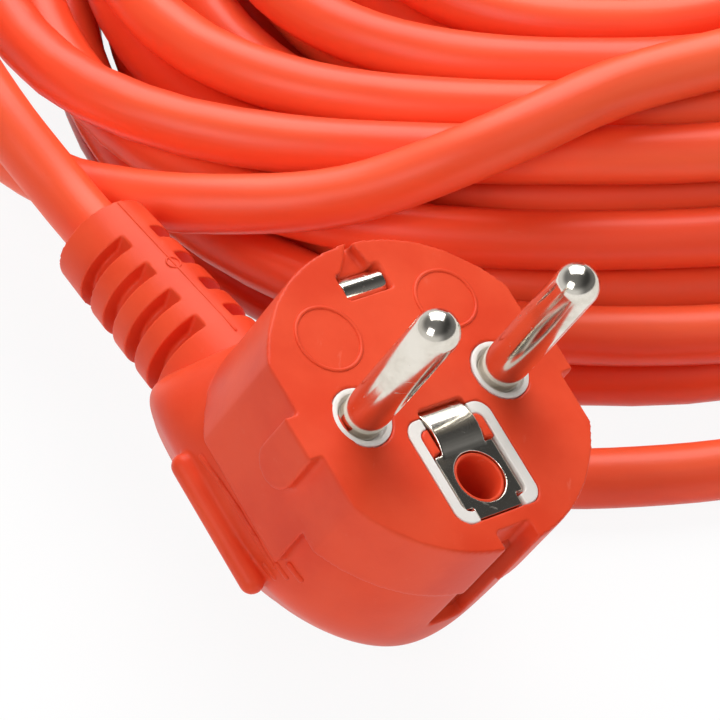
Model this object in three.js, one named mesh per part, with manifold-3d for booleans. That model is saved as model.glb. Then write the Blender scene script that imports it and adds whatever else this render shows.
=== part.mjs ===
// Extension cord: an angled, moulded earthed plug, a coiled three-core cord and a trailing socket.
// Millimetres, +Z up. The pile of cord lies on the floor, the plug leans in front of it and the
// socket lies on top of it.
import * as THREE from "three";
import { mergeVertices } from "three/addons/utils/BufferGeometryUtils.js";
import Module from "manifold-3d";

const wasm = await Module();
wasm.setup();

// ---- Driving dimensions ----
const clearance = 0.3; // between touching pieces

const cordDiameter = 6.8;
const cordRadius = cordDiameter / 2;
const coreRadius = 1.2;
const coreOffset = 2.9; // side cores from the cable's middle

const pinSpacing = 19;
const pinDiameter = 4.8;
const pinLength = 19;
const pinShank = 13; // behind the face
const crimpRadius = 1.9;
const crimpLength = 6;

const faceRadius = 18.5;
const flatHalfWidth = 16.4; // the two flats beside the pins
const frontDepth = 9.4; // of the round front tier
const padDepth = 15.8; // the flats reach further back on the cable side
const padLow = -6.3; // where that cable side begins
const guideHalfWidth = 2.6; // ribs on the flats
const guideRoot = 12; // inside the body
const guideReach = 18.1;
const guideLength = 8;
const bodyStep = 0.9; // the rear body stands in behind the front tier
const plugDepth = 40; // face to back
const ringWall = 1.0; // insert rings round the pins
const insertFront = 5; // depth of the insert's plate behind the face
const insertBack = 11;
const insertHalfWidth = 13.6;
const insertHalfHeight = 5.4;
const earthHoleY = -10;
const earthHoleRadius = 2.5;
const earthHoleDepth = 20;
const earthCollar = 0.7;
const collarDepth = 6;
const plateDepth = 0.6; // earth plate behind the face
const plateNeck = 2.9; // half width at the plate's top and foot
const plateFlange = 3.95; // half width round the earth hole
const plateTop = -1.6;
const plateShoulder = -6.6;
const plateWaist = -12.9;
const plateLow = -14.3;
const strapWidth = 2.8;
const stripThickness = 0.8;
const clipWidth = 4; // side earth contacts
const clipDepth = 16;
const clipFold = 2;
const clipReach = 16.4;
const clipTop = 1.6; // behind the face
const clipNose = 0.6; // the upper contact's nose behind the face
const noseWidth = 5;
const noseThickness = 2.4;
const windowY = 13.85; // opening over the upper contact's nose
const windowWidth = 5.8;
const windowHeight = 3.2;
const notchHalfWidth = 1.8; // from the window to the rim
const notchDepth = 1.6;
const channelWidth = 4.6; // of the rim's two channels
const channelDepth = 16.7;
const frameWall = 1.3; // insert frame round the earth plate
const frameHalfWidth = 5.6;
const frameTop = -2.2;
const frameLow = -14.6;

const reliefRootRadius = 6.7;
const reliefEndRadius = 5.8;
const reliefLength = 20;
const reliefTilt = 14.6; // degrees, away from the face
const reliefStart = new THREE.Vector3(0, 22, -29.4);
const slotCount = 4;
const slotPitch = 4.5;
const slotWidth = 1.7;
const slotWeb = 3.6;
const endCollar = 4.6;

const barLength = 17; // grip bars on both sides of the plug
const barWidth = 2.7;
const barReach = 17.4;
const barMiddle = { y: 1.5, z: -21.2 };

const socketRadius = 22;
const recessRadius = 19.9;
const recessDepth = 17.5;
const rimLength = 24;
const socketBodyLength = 56;
const socketNeckRadius = 8.2;
const keyWidth = 5;
const keyReach = 18.7;
const socketFaceThickness = 3;
const pinHoleRadius = 3;
const carrierRadius = 17;
const carrierLength = 17.4;
const shutterThickness = 3.2;
const shutterTravel = 5.5;
const shutterHalfWidth = 13.4;
const shutterHalfHeight = 5.2;
const sleeveRadius = 3.4;
const sleeveBore = 2.6;
const springRadius = 2.1;
const springWall = 0.7;
const springLength = 8;
const bowWidth = 7;
const bowReach = 17.7;

// How the plug lies, and where the pieces lie in the pile (turns in degrees)
const plugTurn = { heading: 39.2, lean: 14.9, roll: 23.9 };
const plugFaceAt = new THREE.Vector3(0, 1.2, 36.2); // middle of the face
const socketAt = new THREE.Vector3(54, 153.5, 50);

const loopSteps = 24;
const loopSides = 6;
const firstLayerHeight = cordRadius;
const layerRise = 6.95;
// Where a layer's outermost turn runs: centre across, half width, nearest and furthest, squareness
const topTurn = { middle: 7, half: 73.6, near: 44.8, far: 172, square: 3.2 };
const thirdTurn = { middle: 20, half: 71, near: 40.1, far: 180.5, square: 2.5 };
const secondTurn = { middle: 22, half: 70.7, near: 31.8, far: 180.5, square: 2.25 };
const floorTurn = { middle: 23.5, half: 70.5, near: 29.4, far: 180.5, square: 2.1 };
const innerTurn = { middle: 22, half: 27, near: 76.1, far: 135, square: 2.1 };
// Turns in each layer from the top down; the half turn round each reversal climbs a layer
const layerTurns = [4.25, 5, 6, 5.25];
const tubeSides = 10;

// Routes of the two free stretches of cord, between the pile and the moulded ends
const leadRoute = [
  [-47, 53.2, 27], [-54, 65, 30], [-59, 79, 31.4], [-60.3, 94, 31.4], [-54, 109, 31.4],
  [-39, 118.5, 31.4], [-15, 122, 31.4], [15, 123, 31.4], [43, 119, 31.4], [63, 106, 31.4],
  [69, 90, 31.4], [62, 76, 31.4], [50, 66.5, 31.4], [36, 59.5, 31.4], [21.4, 53.6, 31.4],
  [8, 46, 30.3], [-5.7, 43.3, 25.6], [-14, 43, 23.8], [-26.6, 45.2, 21.6], [-34, 48.2, 19.8],
  [-41, 52.2, 18.2], [-48.5, 59.5, 17.4], [-55.5, 69.5, 18], [-62, 81, 20.4], [-65.4, 92, 23],
];
const tailRoute = [
  [94, 78, 3.6], [83, 55, 3.6], [65, 35.4, 3.6], [45, 24.8, 3.6], [24, 20.4, 3.6], [2, 21.4, 3.6],
  [-15, 28.5, 3.6], [-27, 42, 3.6], [-38.6, 60.4, 3.6], [-51, 80, 3.8], [-63, 100, 6],
  [-71.5, 119, 12.5], [-71.6, 136, 25], [-60, 149, 38.5],
];

// ---- Materials ----
const material = (colour, roughness, metalness = 0) =>
  new THREE.MeshStandardMaterial({ color: colour, roughness, metalness });
const orangeVinyl = () => material(0xe8512f, 0.42);
const whiteInsert = () => material(0xe6e1da, 0.5);
const nickel = () => material(0xb9b2a4, 0.25, 1);
const brass = () => material(0xc9a24a, 0.35, 1);
const springSteel = () => material(0x9aa0a6, 0.35, 1);

// ---- Solids ----
/** A closed geometry as a solid that can be joined and cut. */
function solid(geometry) {
  const bare = geometry.clone();
  bare.deleteAttribute("normal");
  bare.deleteAttribute("uv");
  const merged = mergeVertices(bare, 1e-4);
  return new wasm.Manifold(new wasm.Mesh({
    numProp: 3,
    vertProperties: new Float32Array(merged.attributes.position.array),
    triVerts: new Uint32Array(merged.index.array),
  }));
}

/** A solid as a geometry. */
function geometryOf(shape) {
  const mesh = shape.getMesh();
  const geometry = new THREE.BufferGeometry();
  geometry.setAttribute("position", new THREE.BufferAttribute(new Float32Array(mesh.vertProperties), 3));
  geometry.setIndex(new THREE.BufferAttribute(new Uint32Array(mesh.triVerts), 1));
  geometry.computeVertexNormals();
  return geometry;
}

function add(parent, name, shape, look) {
  const geometry = shape.isBufferGeometry ? shape : geometryOf(shape);
  const mesh = new THREE.Mesh(geometry, look);
  mesh.name = name;
  parent.add(mesh);
  return mesh;
}

/** Extrudes points (x, y) from one height to another. */
function slab(points, low, high) {
  const outline = new THREE.Shape(points.map(([x, y]) => new THREE.Vector2(x, y)));
  const geometry = new THREE.ExtrudeGeometry(outline, { depth: high - low, bevelEnabled: false });
  return solid(geometry.translate(0, 0, low));
}

function box(xSize, ySize, zSize, x, y, z) {
  return solid(new THREE.BoxGeometry(xSize, ySize, zSize).translate(x, y, z));
}

/** A round bar along Z. */
function rod(radius, low, high, x = 0, y = 0, sides = 20) {
  const geometry = new THREE.CylinderGeometry(radius, radius, high - low, sides);
  return solid(geometry.rotateX(Math.PI / 2).translate(x, y, (low + high) / 2));
}

/** A turned piece about Z from its (radius, height) profile, which starts and ends on the axis. */
function turned(profile, sides = 24) {
  const points = profile.map(([radius, height]) => new THREE.Vector2(radius, height));
  return solid(new THREE.LatheGeometry(points, sides).rotateX(Math.PI / 2));
}

/** Points of a circle cut by flats at x = -flat and x = flat. */
function flattedCircle(radius, flat, count = 40) {
  const points = [];
  for (let i = 0; i < count; i++) {
    const angle = (2 * Math.PI * (i + 0.5)) / count;
    const x = THREE.MathUtils.clamp(radius * Math.cos(angle), -flat, flat);
    points.push([x, radius * Math.sin(angle)]);
  }
  return points;
}

/** A rectangle with round corners. */
function roundedRectangle(left, right, low, high, corner, steps = 4) {
  const points = [];
  const corners = [[right, high, 0], [left, high, 90], [left, low, 180], [right, low, 270]];
  for (const [x, y, start] of corners) {
    const inX = x - Math.sign(x - (left + right) / 2) * corner;
    const inY = y - Math.sign(y - (low + high) / 2) * corner;
    for (let i = 0; i <= steps; i++) {
      const angle = THREE.MathUtils.degToRad(start + (90 * i) / steps);
      points.push([inX + corner * Math.cos(angle), inY + corner * Math.sin(angle)]);
    }
  }
  return points;
}

/** Joins rings of equal counts of points into one closed body. */
function skin(rings) {
  const count = rings[0].length;
  const positions = rings.flat().flatMap((point) => [point.x, point.y, point.z]);
  const index = [];
  for (let ring = 0; ring < rings.length - 1; ring++) {
    for (let i = 0; i < count; i++) {
      const a = ring * count + i;
      const b = ring * count + ((i + 1) % count);
      index.push(a, b, a + count, b, b + count, a + count);
    }
  }
  for (const [ring, flip] of [[0, true], [rings.length - 1, false]]) {
    for (let i = 1; i < count - 1; i++) {
      const a = ring * count;
      index.push(...(flip ? [a, a + i + 1, a + i] : [a, a + i, a + i + 1]));
    }
  }
  const geometry = new THREE.BufferGeometry();
  geometry.setAttribute("position", new THREE.Float32BufferAttribute(positions, 3));
  geometry.setIndex(index);
  return geometry;
}

/** A round tube through points, square at both ends. */
function tube(points, radius, steps, sides = 8) {
  const curve = new THREE.CatmullRomCurve3(points, false, "centripetal");
  const section = [];
  for (let i = 0; i < sides; i++) {
    const angle = (2 * Math.PI * i) / sides;
    section.push(new THREE.Vector2(radius * Math.cos(angle), radius * Math.sin(angle)));
  }
  return new THREE.ExtrudeGeometry(new THREE.Shape(section), { steps, extrudePath: curve });
}

const union = (shapes) => shapes.reduce((whole, shape) => whole.add(shape));
const vector = ([x, y, z]) => new THREE.Vector3(x, y, z);

// ---- Pieces that both ends share ----
/**
 * The slotted strain relief, root at the origin, running along +Y. Slots from both sides leave a web
 * above and below and the sheath's bore closed.
 */
function slottedRelief(rootOverlap) {
  const rings = [];
  const stations = 2;
  for (let i = 0; i <= stations; i++) {
    const y = -rootOverlap + ((reliefLength + rootOverlap) * i) / stations;
    const share = Math.max(0, y / reliefLength);
    const radius = reliefRootRadius + (reliefEndRadius - reliefRootRadius) * share;
    const ring = [];
    for (let k = 0; k < 20; k++) {
      const angle = (-2 * Math.PI * (k + 0.5)) / 20;
      ring.push(new THREE.Vector3(radius * Math.cos(angle), y, radius * Math.sin(angle)));
    }
    rings.push(ring);
  }
  let relief = solid(skin(rings));
  const floor = cordRadius + clearance + 0.7;
  const turn = (shape) => shape.rotate([-90, 0, 0]);
  for (let i = 0; i < slotCount; i++) {
    const end = reliefLength - endCollar - i * slotPitch;
    const disc = turn(rod(reliefRootRadius + 2, 0, slotWidth, 0, 0, 12));
    const heart = turn(rod(floor, -1, slotWidth + 1, 0, 0, 12));
    const web = box(slotWeb, slotWidth + 2, 3 * reliefRootRadius, 0, slotWidth / 2, 0);
    relief = relief.subtract(disc.subtract(heart).subtract(web).translate([0, end - slotWidth, 0]));
  }
  return relief;
}

/** A crimp sleeve along Z with its bore for the core at the back (low) end. */
function crimp(high, x, y, grow = 0) {
  const sleeve = rod(crimpRadius + grow, high - crimpLength - grow, high + grow, x, y, 12);
  if (grow > 0) return sleeve;
  return sleeve.subtract(rod(coreRadius + clearance, high - crimpLength - 1, high - 2, x, y, 10));
}

/** A core's insulation from the sheath's end to inside a crimp. */
function core(route, grow = 0) {
  return solid(tube(route.map(vector), coreRadius + grow, 7, 6));
}

// ---- Plug, in its own frame: +Z out of the face, +X from pin to pin, +Y to the cable ----
const reliefDirection = new THREE.Vector3(
  0, Math.cos(THREE.MathUtils.degToRad(reliefTilt)), -Math.sin(THREE.MathUtils.degToRad(reliefTilt)));
const sheathEntry = reliefStart.clone().addScaledVector(reliefDirection, -9);
const plugExit = reliefStart.clone().addScaledVector(reliefDirection, reliefLength);
const crimpTop = -pinShank - clearance;

/** Superellipse ring at a depth: half width, lowest and highest y, and squareness. */
function bodyRing([depth, half, low, high, lowSquare, highSquare]) {
  const ring = [];
  const count = 36;
  for (let i = 0; i < count; i++) {
    const angle = (2 * Math.PI * (i + 0.5)) / count;
    const across = Math.cos(angle);
    const along = Math.sin(angle);
    const square = along > 0 ? highSquare : lowSquare;
    const x = half * Math.sign(across) * Math.abs(across) ** (2 / square);
    const y = (low + high) / 2 + ((high - low) / 2) * Math.sign(along) * Math.abs(along) ** (2 / square);
    ring.push(new THREE.Vector3(x, y, depth));
  }
  return ring;
}

function plugOuter() {
  const front = slab(flattedCircle(faceRadius, flatHalfWidth), -frontDepth, 0);
  const padOutline = slab(flattedCircle(faceRadius, flatHalfWidth), -padDepth, -frontDepth + 1);
  const padArea = slab(roundedRectangle(
    -faceRadius - 2, faceRadius + 2, padLow, 2 * faceRadius, 3), -padDepth - 1, 1);
  const half = flatHalfWidth - bodyStep;
  const low = -faceRadius + bodyStep / 2;
  const rear = solid(skin([
    [-plugDepth, 3, -1.95, 13, 2, 2.4],
    [-plugDepth + 2.6, 5, -5, 17, 1.9, 2.8],
    [-32.5, 9, -10, 20.2, 1.9, 7],
    [-30.8, 9.4, -11.8, 20.4, 1.9, 7],
    [-25.4, 13.4, -16.3, 20.4, 1.85, 7],
    [-21.5, half, low + 0.2, 19.4, 2, 5],
    [-15, half, low, -low, 2.3, 2.4],
    [-frontDepth + 1, half, low, -low, 2.3, 2.3],
  ].map(bodyRing)));
  const guideLong = guideReach - guideRoot;
  const guideMiddle = (guideReach + guideRoot) / 2;
  const guideFlat = guideLength - guideHalfWidth;
  const guides = [-1, 1].map((side) => {
    const end = new THREE.CylinderGeometry(guideHalfWidth, guideHalfWidth, guideLong, 16);
    end.rotateZ(Math.PI / 2).translate(side * guideMiddle, 0, -guideFlat);
    const straight = box(guideLong, 2 * guideHalfWidth, guideFlat, side * guideMiddle, 0, -guideFlat / 2);
    return solid(end).add(straight);
  });
  const bars = [-1, 1].map((side) => {
    const outline = roundedRectangle(
      -barWidth / 2, barWidth / 2, -barLength / 2, barLength / 2, barWidth / 2 - 0.05);
    const bar = slab(outline, guideRoot, barReach).rotate([0, side * 90, 0]);
    return bar.translate([0, barMiddle.y, barMiddle.z]);
  });
  const relief = slottedRelief(5).rotate([-reliefTilt, 0, 0]).translate(reliefStart.toArray());
  return union([front, padOutline.intersect(padArea), rear, ...guides, ...bars, relief]);
}

/** The insert: a plate behind the face, a ring round each pin and a frame round the earth plate. */
function pinCarrier(grow = 0) {
  const plate = slab(roundedRectangle(-insertHalfWidth - grow, insertHalfWidth + grow,
    -insertHalfHeight - grow, insertHalfHeight + grow, 3), -insertBack - grow, -insertFront + grow);
  const lip = grow > 0 ? 1 : 0;
  const rings = [-1, 1].map((side) => rod(
    pinDiameter / 2 + ringWall + grow, -insertFront - 1, lip, side * pinSpacing / 2, 0, 24));
  const outer = slab(roundedRectangle(-frameHalfWidth - grow, frameHalfWidth + grow,
    frameLow - grow, frameTop + grow, 1.6), -insertFront - 1, lip);
  const innerHalf = frameHalfWidth - frameWall - grow;
  const inner = slab(roundedRectangle(-innerHalf, innerHalf,
    frameLow + frameWall + grow, frameTop - frameWall - grow, 1), -insertFront - 3, 2);
  const gates = [frameTop, frameLow].map((y) => box(2 * (plateNeck + clearance - grow), 8, 12, 0, y, 0));
  const frame = outer.subtract(inner).subtract(union(gates));
  const feet = [-1, 1].map((side) => box(
    frameWall + 2 * grow, frameTop - frameLow + 2 * grow, 3 + grow,
    side * (frameHalfWidth - frameWall / 2), (frameTop + frameLow) / 2, -insertFront - 1.5));
  return union([plate, ...rings, frame, ...feet]);
}

/** A pin with its shank; its round tip is a half ball. */
function pin(grow = 0) {
  const radius = pinDiameter / 2 + grow;
  const shank = radius - 0.6;
  const profile = [[0, -pinShank - grow], [shank, -pinShank - grow], [shank, -insertBack - 0.5]];
  profile.push([radius, -insertBack - 0.5], [radius, pinLength - pinDiameter / 2]);
  for (let i = 1; i < 6; i++) {
    const angle = (Math.PI / 2) * (i / 6);
    profile.push([radius * Math.cos(angle), pinLength - pinDiameter / 2 + radius * Math.sin(angle)]);
  }
  profile.push([0, pinLength - pinDiameter / 2 + radius]);
  return turned(profile, 20);
}

/** The earth plate's outline, larger by grow: wide round the hole, narrow at its top and foot. */
function plateOutline(grow, low, high) {
  const neck = slab(roundedRectangle(
    -plateNeck - grow, plateNeck + grow, plateLow - grow, plateTop + grow, 0.4), low, high);
  const flange = slab(roundedRectangle(
    -plateFlange - grow, plateFlange + grow, plateWaist - grow, plateShoulder + grow, 0.4), low, high);
  return neck.add(flange);
}

/** The earth plate with its round hole and a strap to its crimp. */
function earthPlate(grow = 0) {
  const top = -plateDepth + grow;
  const low = -plateDepth - stripThickness - grow;
  const hole = rod(earthHoleRadius + earthCollar + clearance - grow, -collarDepth, 2, 0, earthHoleY, 24);
  const strapLow = crimpTop + clearance - grow;
  const strap = box(strapWidth + 2 * grow, stripThickness + 2 * grow, low - strapLow + grow + 0.2,
    0, plateTop - stripThickness / 2, (low + strapLow + grow + 0.2) / 2);
  const flat = box(strapWidth + 2 * grow, 3 + 2 * grow, stripThickness + 2 * grow,
    0, plateTop + 0.7, crimpTop + clearance + stripThickness / 2);
  return union([plateOutline(grow, low, top).subtract(hole), strap, flat]);
}

/** A side earth contact: a strip in a channel of the rim, with a folded top. */
function earthClip(side, grow = 0) {
  const strip = box(clipWidth + 2 * grow, stripThickness + 2 * grow, clipDepth + 2 * grow,
    0, side * clipReach, -clipTop - clipDepth / 2);
  const inner = side > 0 ? windowY - noseThickness / 2 : clipReach + stripThickness / 2 - clipFold;
  const outer = clipReach + stripThickness / 2;
  const fold = box(clipWidth + 2 * grow, outer - inner + 2 * grow, stripThickness + 2 * grow,
    0, (side * (inner + outer)) / 2, -clipTop - stripThickness / 2);
  if (side < 0) return strip.add(fold);
  const noseHeight = clipTop + stripThickness - clipNose;
  const nose = box(noseWidth + 2 * grow, noseThickness + 2 * grow, noseHeight + 2 * grow,
    0, windowY, -clipNose - noseHeight / 2);
  return union([strip, fold, nose]);
}

/** The round sheath inside a relief, flush with its end. */
function sheath(start, direction, length, grow = 0) {
  const from = start.clone().addScaledVector(direction, -grow);
  const to = start.clone().addScaledVector(direction, length + (grow > 0 ? 2 : 0));
  return solid(tube([from, from.clone().lerp(to, 0.5), to], cordRadius + grow, 2, 12));
}

const coreEnd = sheathEntry.clone().addScaledVector(reliefDirection, -clearance);
const coreFrom = (x) => [[x, coreEnd.y, coreEnd.z], [x, coreEnd.y - 2.6, coreEnd.z + 0.6]];
const crimpMouth = crimpTop - crimpLength + 1.5;
/** A side core's route: out of the cable, outwards to its pin and up into the crimp. */
const sideCoreRoute = (side) => [
  ...coreFrom(side * coreOffset), [side * (pinSpacing / 2 - coreOffset), 5.6, -27.4],
  [(side * pinSpacing) / 2, 0.6, -24], [(side * pinSpacing) / 2, 0, crimpMouth - 2],
  [(side * pinSpacing) / 2, 0, crimpMouth],
];
const plugCoreRoutes = {
  live: sideCoreRoute(-1),
  neutral: sideCoreRoute(1),
  earth: [...coreFrom(0), [0, 6, -26.6], [0, 1.2, -24.2], [0, 0.4, crimpMouth - 2.4], [0, 0.4, crimpMouth]],
};
const coreLooks = {
  live: () => material(0x6b3a1e, 0.5),
  neutral: () => material(0x2a5cb8, 0.5),
  earth: () => material(0x6f9a2a, 0.5),
};
const crimpPlaces = { live: -pinSpacing / 2, neutral: pinSpacing / 2, earth: 0 };

function plugInner(grow) {
  const pieces = {
    pin_carrier: pinCarrier(grow),
    live_pin: pin(grow).translate([-pinSpacing / 2, 0, 0]),
    neutral_pin: pin(grow).translate([pinSpacing / 2, 0, 0]),
    earth_plate: earthPlate(grow),
    earth_clip_upper: earthClip(1, grow),
    earth_clip_lower: earthClip(-1, grow),
    plug_sheath: sheath(sheathEntry, reliefDirection, reliefLength + 9, grow),
  };
  for (const [wire, x] of Object.entries(crimpPlaces)) {
    pieces[`plug_crimp_${wire}`] = crimp(crimpTop, x, wire === "earth" ? 0.4 : 0, grow);
    pieces[`plug_core_${wire}`] = core(plugCoreRoutes[wire], grow);
  }
  return pieces;
}

/** Openings in the face: the earth pin's bore, the rim channels, the window and its notch. */
function plugCuts() {
  const bore = rod(earthHoleRadius, -earthHoleDepth, 1, 0, earthHoleY, 24);
  const lowerLong = channelDepth + 1;
  const upperLong = channelDepth - 3;
  const lowerChannel = box(channelWidth, 4, lowerLong, 0, -faceRadius + 0.3, -lowerLong / 2 + 0.6);
  const upperChannel = box(channelWidth, 4, upperLong, 0, faceRadius - 0.1, -3 - upperLong / 2);
  const window = box(windowWidth, windowHeight, clipTop + 1, 0, windowY, (1 - clipTop) / 2);
  const plateWindow = plateOutline(clearance + 0.05, -plateDepth - 0.1, 1);
  const notchLow = windowY + windowHeight / 2 - 0.2;
  const notchHigh = faceRadius + 0.3;
  const notch = slab([
    [-notchHalfWidth, notchLow], [notchHalfWidth, notchLow], [0.1, notchHigh], [-0.1, notchHigh],
  ], -notchDepth, 1);
  return union([bore, lowerChannel, upperChannel, window, plateWindow, notch]);
}

function buildPlug() {
  const plug = new THREE.Group();
  const collar = rod(earthHoleRadius + earthCollar, -collarDepth, -0.2, 0, earthHoleY, 24)
    .subtract(rod(earthHoleRadius, -collarDepth - 1, 1, 0, earthHoleY, 24));
  let body = plugOuter();
  for (const shape of Object.values(plugInner(clearance))) body = body.subtract(shape);
  body = body.subtract(plugCuts()).add(collar);
  add(plug, "plug_body", body, orangeVinyl());
  const pieces = plugInner(0);
  const insert = pieces.pin_carrier;
  const pins = [-1, 1].map((side) => pin(clearance).translate([(side * pinSpacing) / 2, 0, 0]));
  pieces.pin_carrier = insert.subtract(union(pins)).subtract(earthPlate(clearance));
  const looks = {
    pin_carrier: whiteInsert, live_pin: nickel, neutral_pin: nickel, earth_plate: nickel,
    earth_clip_upper: nickel, earth_clip_lower: nickel, plug_sheath: orangeVinyl,
  };
  for (const [name, shape] of Object.entries(pieces)) {
    const wire = name.split("_").at(-1);
    const look = looks[name] ?? (name.includes("crimp") ? brass : coreLooks[wire]);
    add(plug, name, shape, look());
  }
  return plug;
}

// ---- Socket, in its own frame: +Z out of the mouth, +X from hole to hole, +Y the shutter's way ----
const faceLevel = -recessDepth;
const carrierTop = faceLevel - socketFaceThickness - clearance;
const carrierLow = carrierTop - carrierLength;
const shutterTop = carrierTop - clearance;
const shutterLow = shutterTop - shutterThickness;
const socketEnd = -socketBodyLength - reliefLength - 12;
const socketSheathEntry = -socketBodyLength - 4;
const springLow = shutterHalfHeight + clearance;

function socketOuter() {
  const body = turned([
    [0, -socketBodyLength - 12], [reliefRootRadius, -socketBodyLength - 12],
    [socketNeckRadius, -socketBodyLength - 2], [13.5, -socketBodyLength + 6], [17.6, -socketBodyLength + 14],
    [19.4, -rimLength - 6], [21, -rimLength - 0.6], [socketRadius, -rimLength],
    [socketRadius, -0.8], [socketRadius - 0.8, 0], [0, 0],
  ], 36);
  const ribs = [];
  const ribCount = 5;
  for (const side of [-1, 1]) {
    for (let i = 0; i < ribCount; i++) {
      const rib = slab(roundedRectangle(-8, 8, -0.9, 0.9, 0.8, 3), 14, 20.6 - 0.35 * i);
      const turned = rib.rotate([0, side * 90, 0]).rotate([90, 0, 0]);
      ribs.push(turned.translate([0, 0, -rimLength - 4 - 3.4 * i]));
    }
  }
  const relief = slottedRelief(4).rotate([-90, 0, 0]).translate([0, 0, -socketBodyLength - 12]);
  return union([body, ...ribs, relief]);
}

function socketCuts() {
  const recess = rod(recessRadius, faceLevel - socketFaceThickness - clearance, 1, 0, 0, 36);
  const keys = [-1, 1].map((side) => box(4, keyWidth, recessDepth - 2,
    side * (keyReach + 2), 0, -2 - (recessDepth - 2) / 2));
  const seat = rod(carrierRadius + clearance, carrierLow - clearance, carrierTop + 1, 0, 0, 28);
  return recess.subtract(union(keys)).add(seat);
}

function pinHoles(radius, low, high) {
  return union([-1, 1].map((side) => rod(radius, low, high, side * pinSpacing / 2, 0, 24)));
}

/** The earth bow: two arms up the recess wall, joined by a bar behind the carrier. */
function earthBow(grow = 0) {
  const barTop = carrierLow - clearance + grow;
  const bar = box(bowWidth + 2 * grow, 2 * (bowReach + 0.4 + grow), stripThickness + 2 * grow,
    0, 0, barTop - stripThickness / 2 - grow);
  const arms = [-1, 1].map((side) => {
    const high = -3;
    const low = barTop - stripThickness - 2 * grow;
    return box(bowWidth + 2 * grow, stripThickness + 2 * grow, high - low + grow,
      0, side * bowReach, (high + low + grow) / 2);
  });
  const noses = [-1, 1].map((side) => solid(new THREE.CylinderGeometry(
    1.2 + grow, 1.2 + grow, bowWidth + 2 * grow, 12).rotateZ(Math.PI / 2)
    .translate(0, side * (bowReach - 0.3), -8)));
  return union([bar, ...arms, ...noses]);
}

function socketFace() {
  const disc = rod(recessRadius - clearance, faceLevel - socketFaceThickness, faceLevel, 0, 0, 36);
  return disc.subtract(pinHoles(pinHoleRadius, faceLevel - 9, faceLevel + 9)).subtract(earthBow(clearance));
}

function sleeve(grow = 0) {
  const top = shutterLow - 2 * clearance;
  const low = carrierLow + 1.6;
  const shell = rod(sleeveRadius + grow, low - grow, top + grow, 0, 0, 20);
  const tang = rod(crimpRadius - 0.4 + grow, carrierLow - 1, low + 1, 0, 0, 12);
  const whole = shell.add(tang);
  return grow > 0 ? whole : whole.subtract(rod(sleeveBore, low + 1, top + 1, 0, 0, 20));
}

function contactCarrier() {
  let carrier = rod(carrierRadius, carrierLow, carrierTop, 0, 0, 28);
  const slotDepth = shutterThickness + 2 * clearance + 2;
  const slotMiddle = shutterTop + clearance + 1 - slotDepth / 2;
  const slot = box(2 * (shutterHalfWidth + clearance), 2 * (shutterHalfHeight + clearance) + shutterTravel,
    slotDepth, 0, shutterTravel / 2, slotMiddle);
  const springSeat = box(2 * (springRadius + clearance), springLength + 2 * clearance, slotDepth,
    0, springLow + springLength / 2, slotMiddle);
  carrier = carrier.subtract(slot).subtract(springSeat);
  for (const side of [-1, 1]) {
    carrier = carrier.subtract(sleeve(clearance).translate([side * pinSpacing / 2, 0, 0]));
    carrier = carrier.subtract(rod(sleeveBore, shutterLow - 2, shutterLow + 2, side * pinSpacing / 2, 0, 20));
  }
  return carrier.subtract(earthBow(clearance));
}

/** The shutter plate: its two holes meet the pins' only after it has moved up by its travel. */
function shutter() {
  const plate = box(2 * shutterHalfWidth, 2 * shutterHalfHeight, shutterThickness,
    0, 0, (shutterTop + shutterLow) / 2);
  const holes = pinHoles(pinHoleRadius, shutterLow - 1, shutterTop + 1).translate([0, -shutterTravel, 0]);
  const ramps = [-1, 1].map((side) => slab([[0, 0], [2.4, 0], [0, 2.2]], -3, 3)
    .rotate([90, 0, 90]).translate([side * pinSpacing / 2, -0.4, shutterTop - 2.2]));
  return plate.subtract(holes).subtract(union(ramps).translate([0, 0, 2.3]));
}

/** The shutter's spring as a sleeve along Y. */
function spring() {
  const ring = rod(springRadius, 0, springLength, 0, 0, 16)
    .subtract(rod(springRadius - springWall, -1, springLength + 1, 0, 0, 16));
  return ring.rotate([-90, 0, 0]).translate([0, springLow, (shutterTop + shutterLow) / 2]);
}

const socketCrimpTop = carrierLow - 1 - clearance;
const socketCrimpMouth = socketCrimpTop - crimpLength + 1.5;
const socketCoreEnd = socketSheathEntry + clearance;
const socketCoreRoute = (x, start) => [
  [start, 0, socketCoreEnd], [start, 0, socketCoreEnd + 2], [x * 0.75, 0, socketCoreEnd + 7.5],
  [x, 0, socketCrimpMouth - 2.2], [x, 0, socketCrimpMouth],
];
const socketCoreRoutes = {
  live: socketCoreRoute(-pinSpacing / 2, -coreOffset),
  neutral: socketCoreRoute(pinSpacing / 2, coreOffset),
  earth: socketCoreRoute(0, 0),
};

function socketInner(grow) {
  const axis = new THREE.Vector3(0, 0, -1);
  const entry = new THREE.Vector3(0, 0, socketSheathEntry);
  const pieces = { socket_sheath: sheath(entry, axis, socketSheathEntry - socketEnd, grow) };
  for (const [wire, x] of Object.entries(crimpPlaces)) {
    const top = wire === "earth" ? carrierLow - 2 * clearance - stripThickness : socketCrimpTop;
    pieces[`socket_crimp_${wire}`] = crimp(top, x, 0, grow);
    pieces[`socket_core_${wire}`] = core(socketCoreRoutes[wire], grow);
  }
  return pieces;
}

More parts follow.
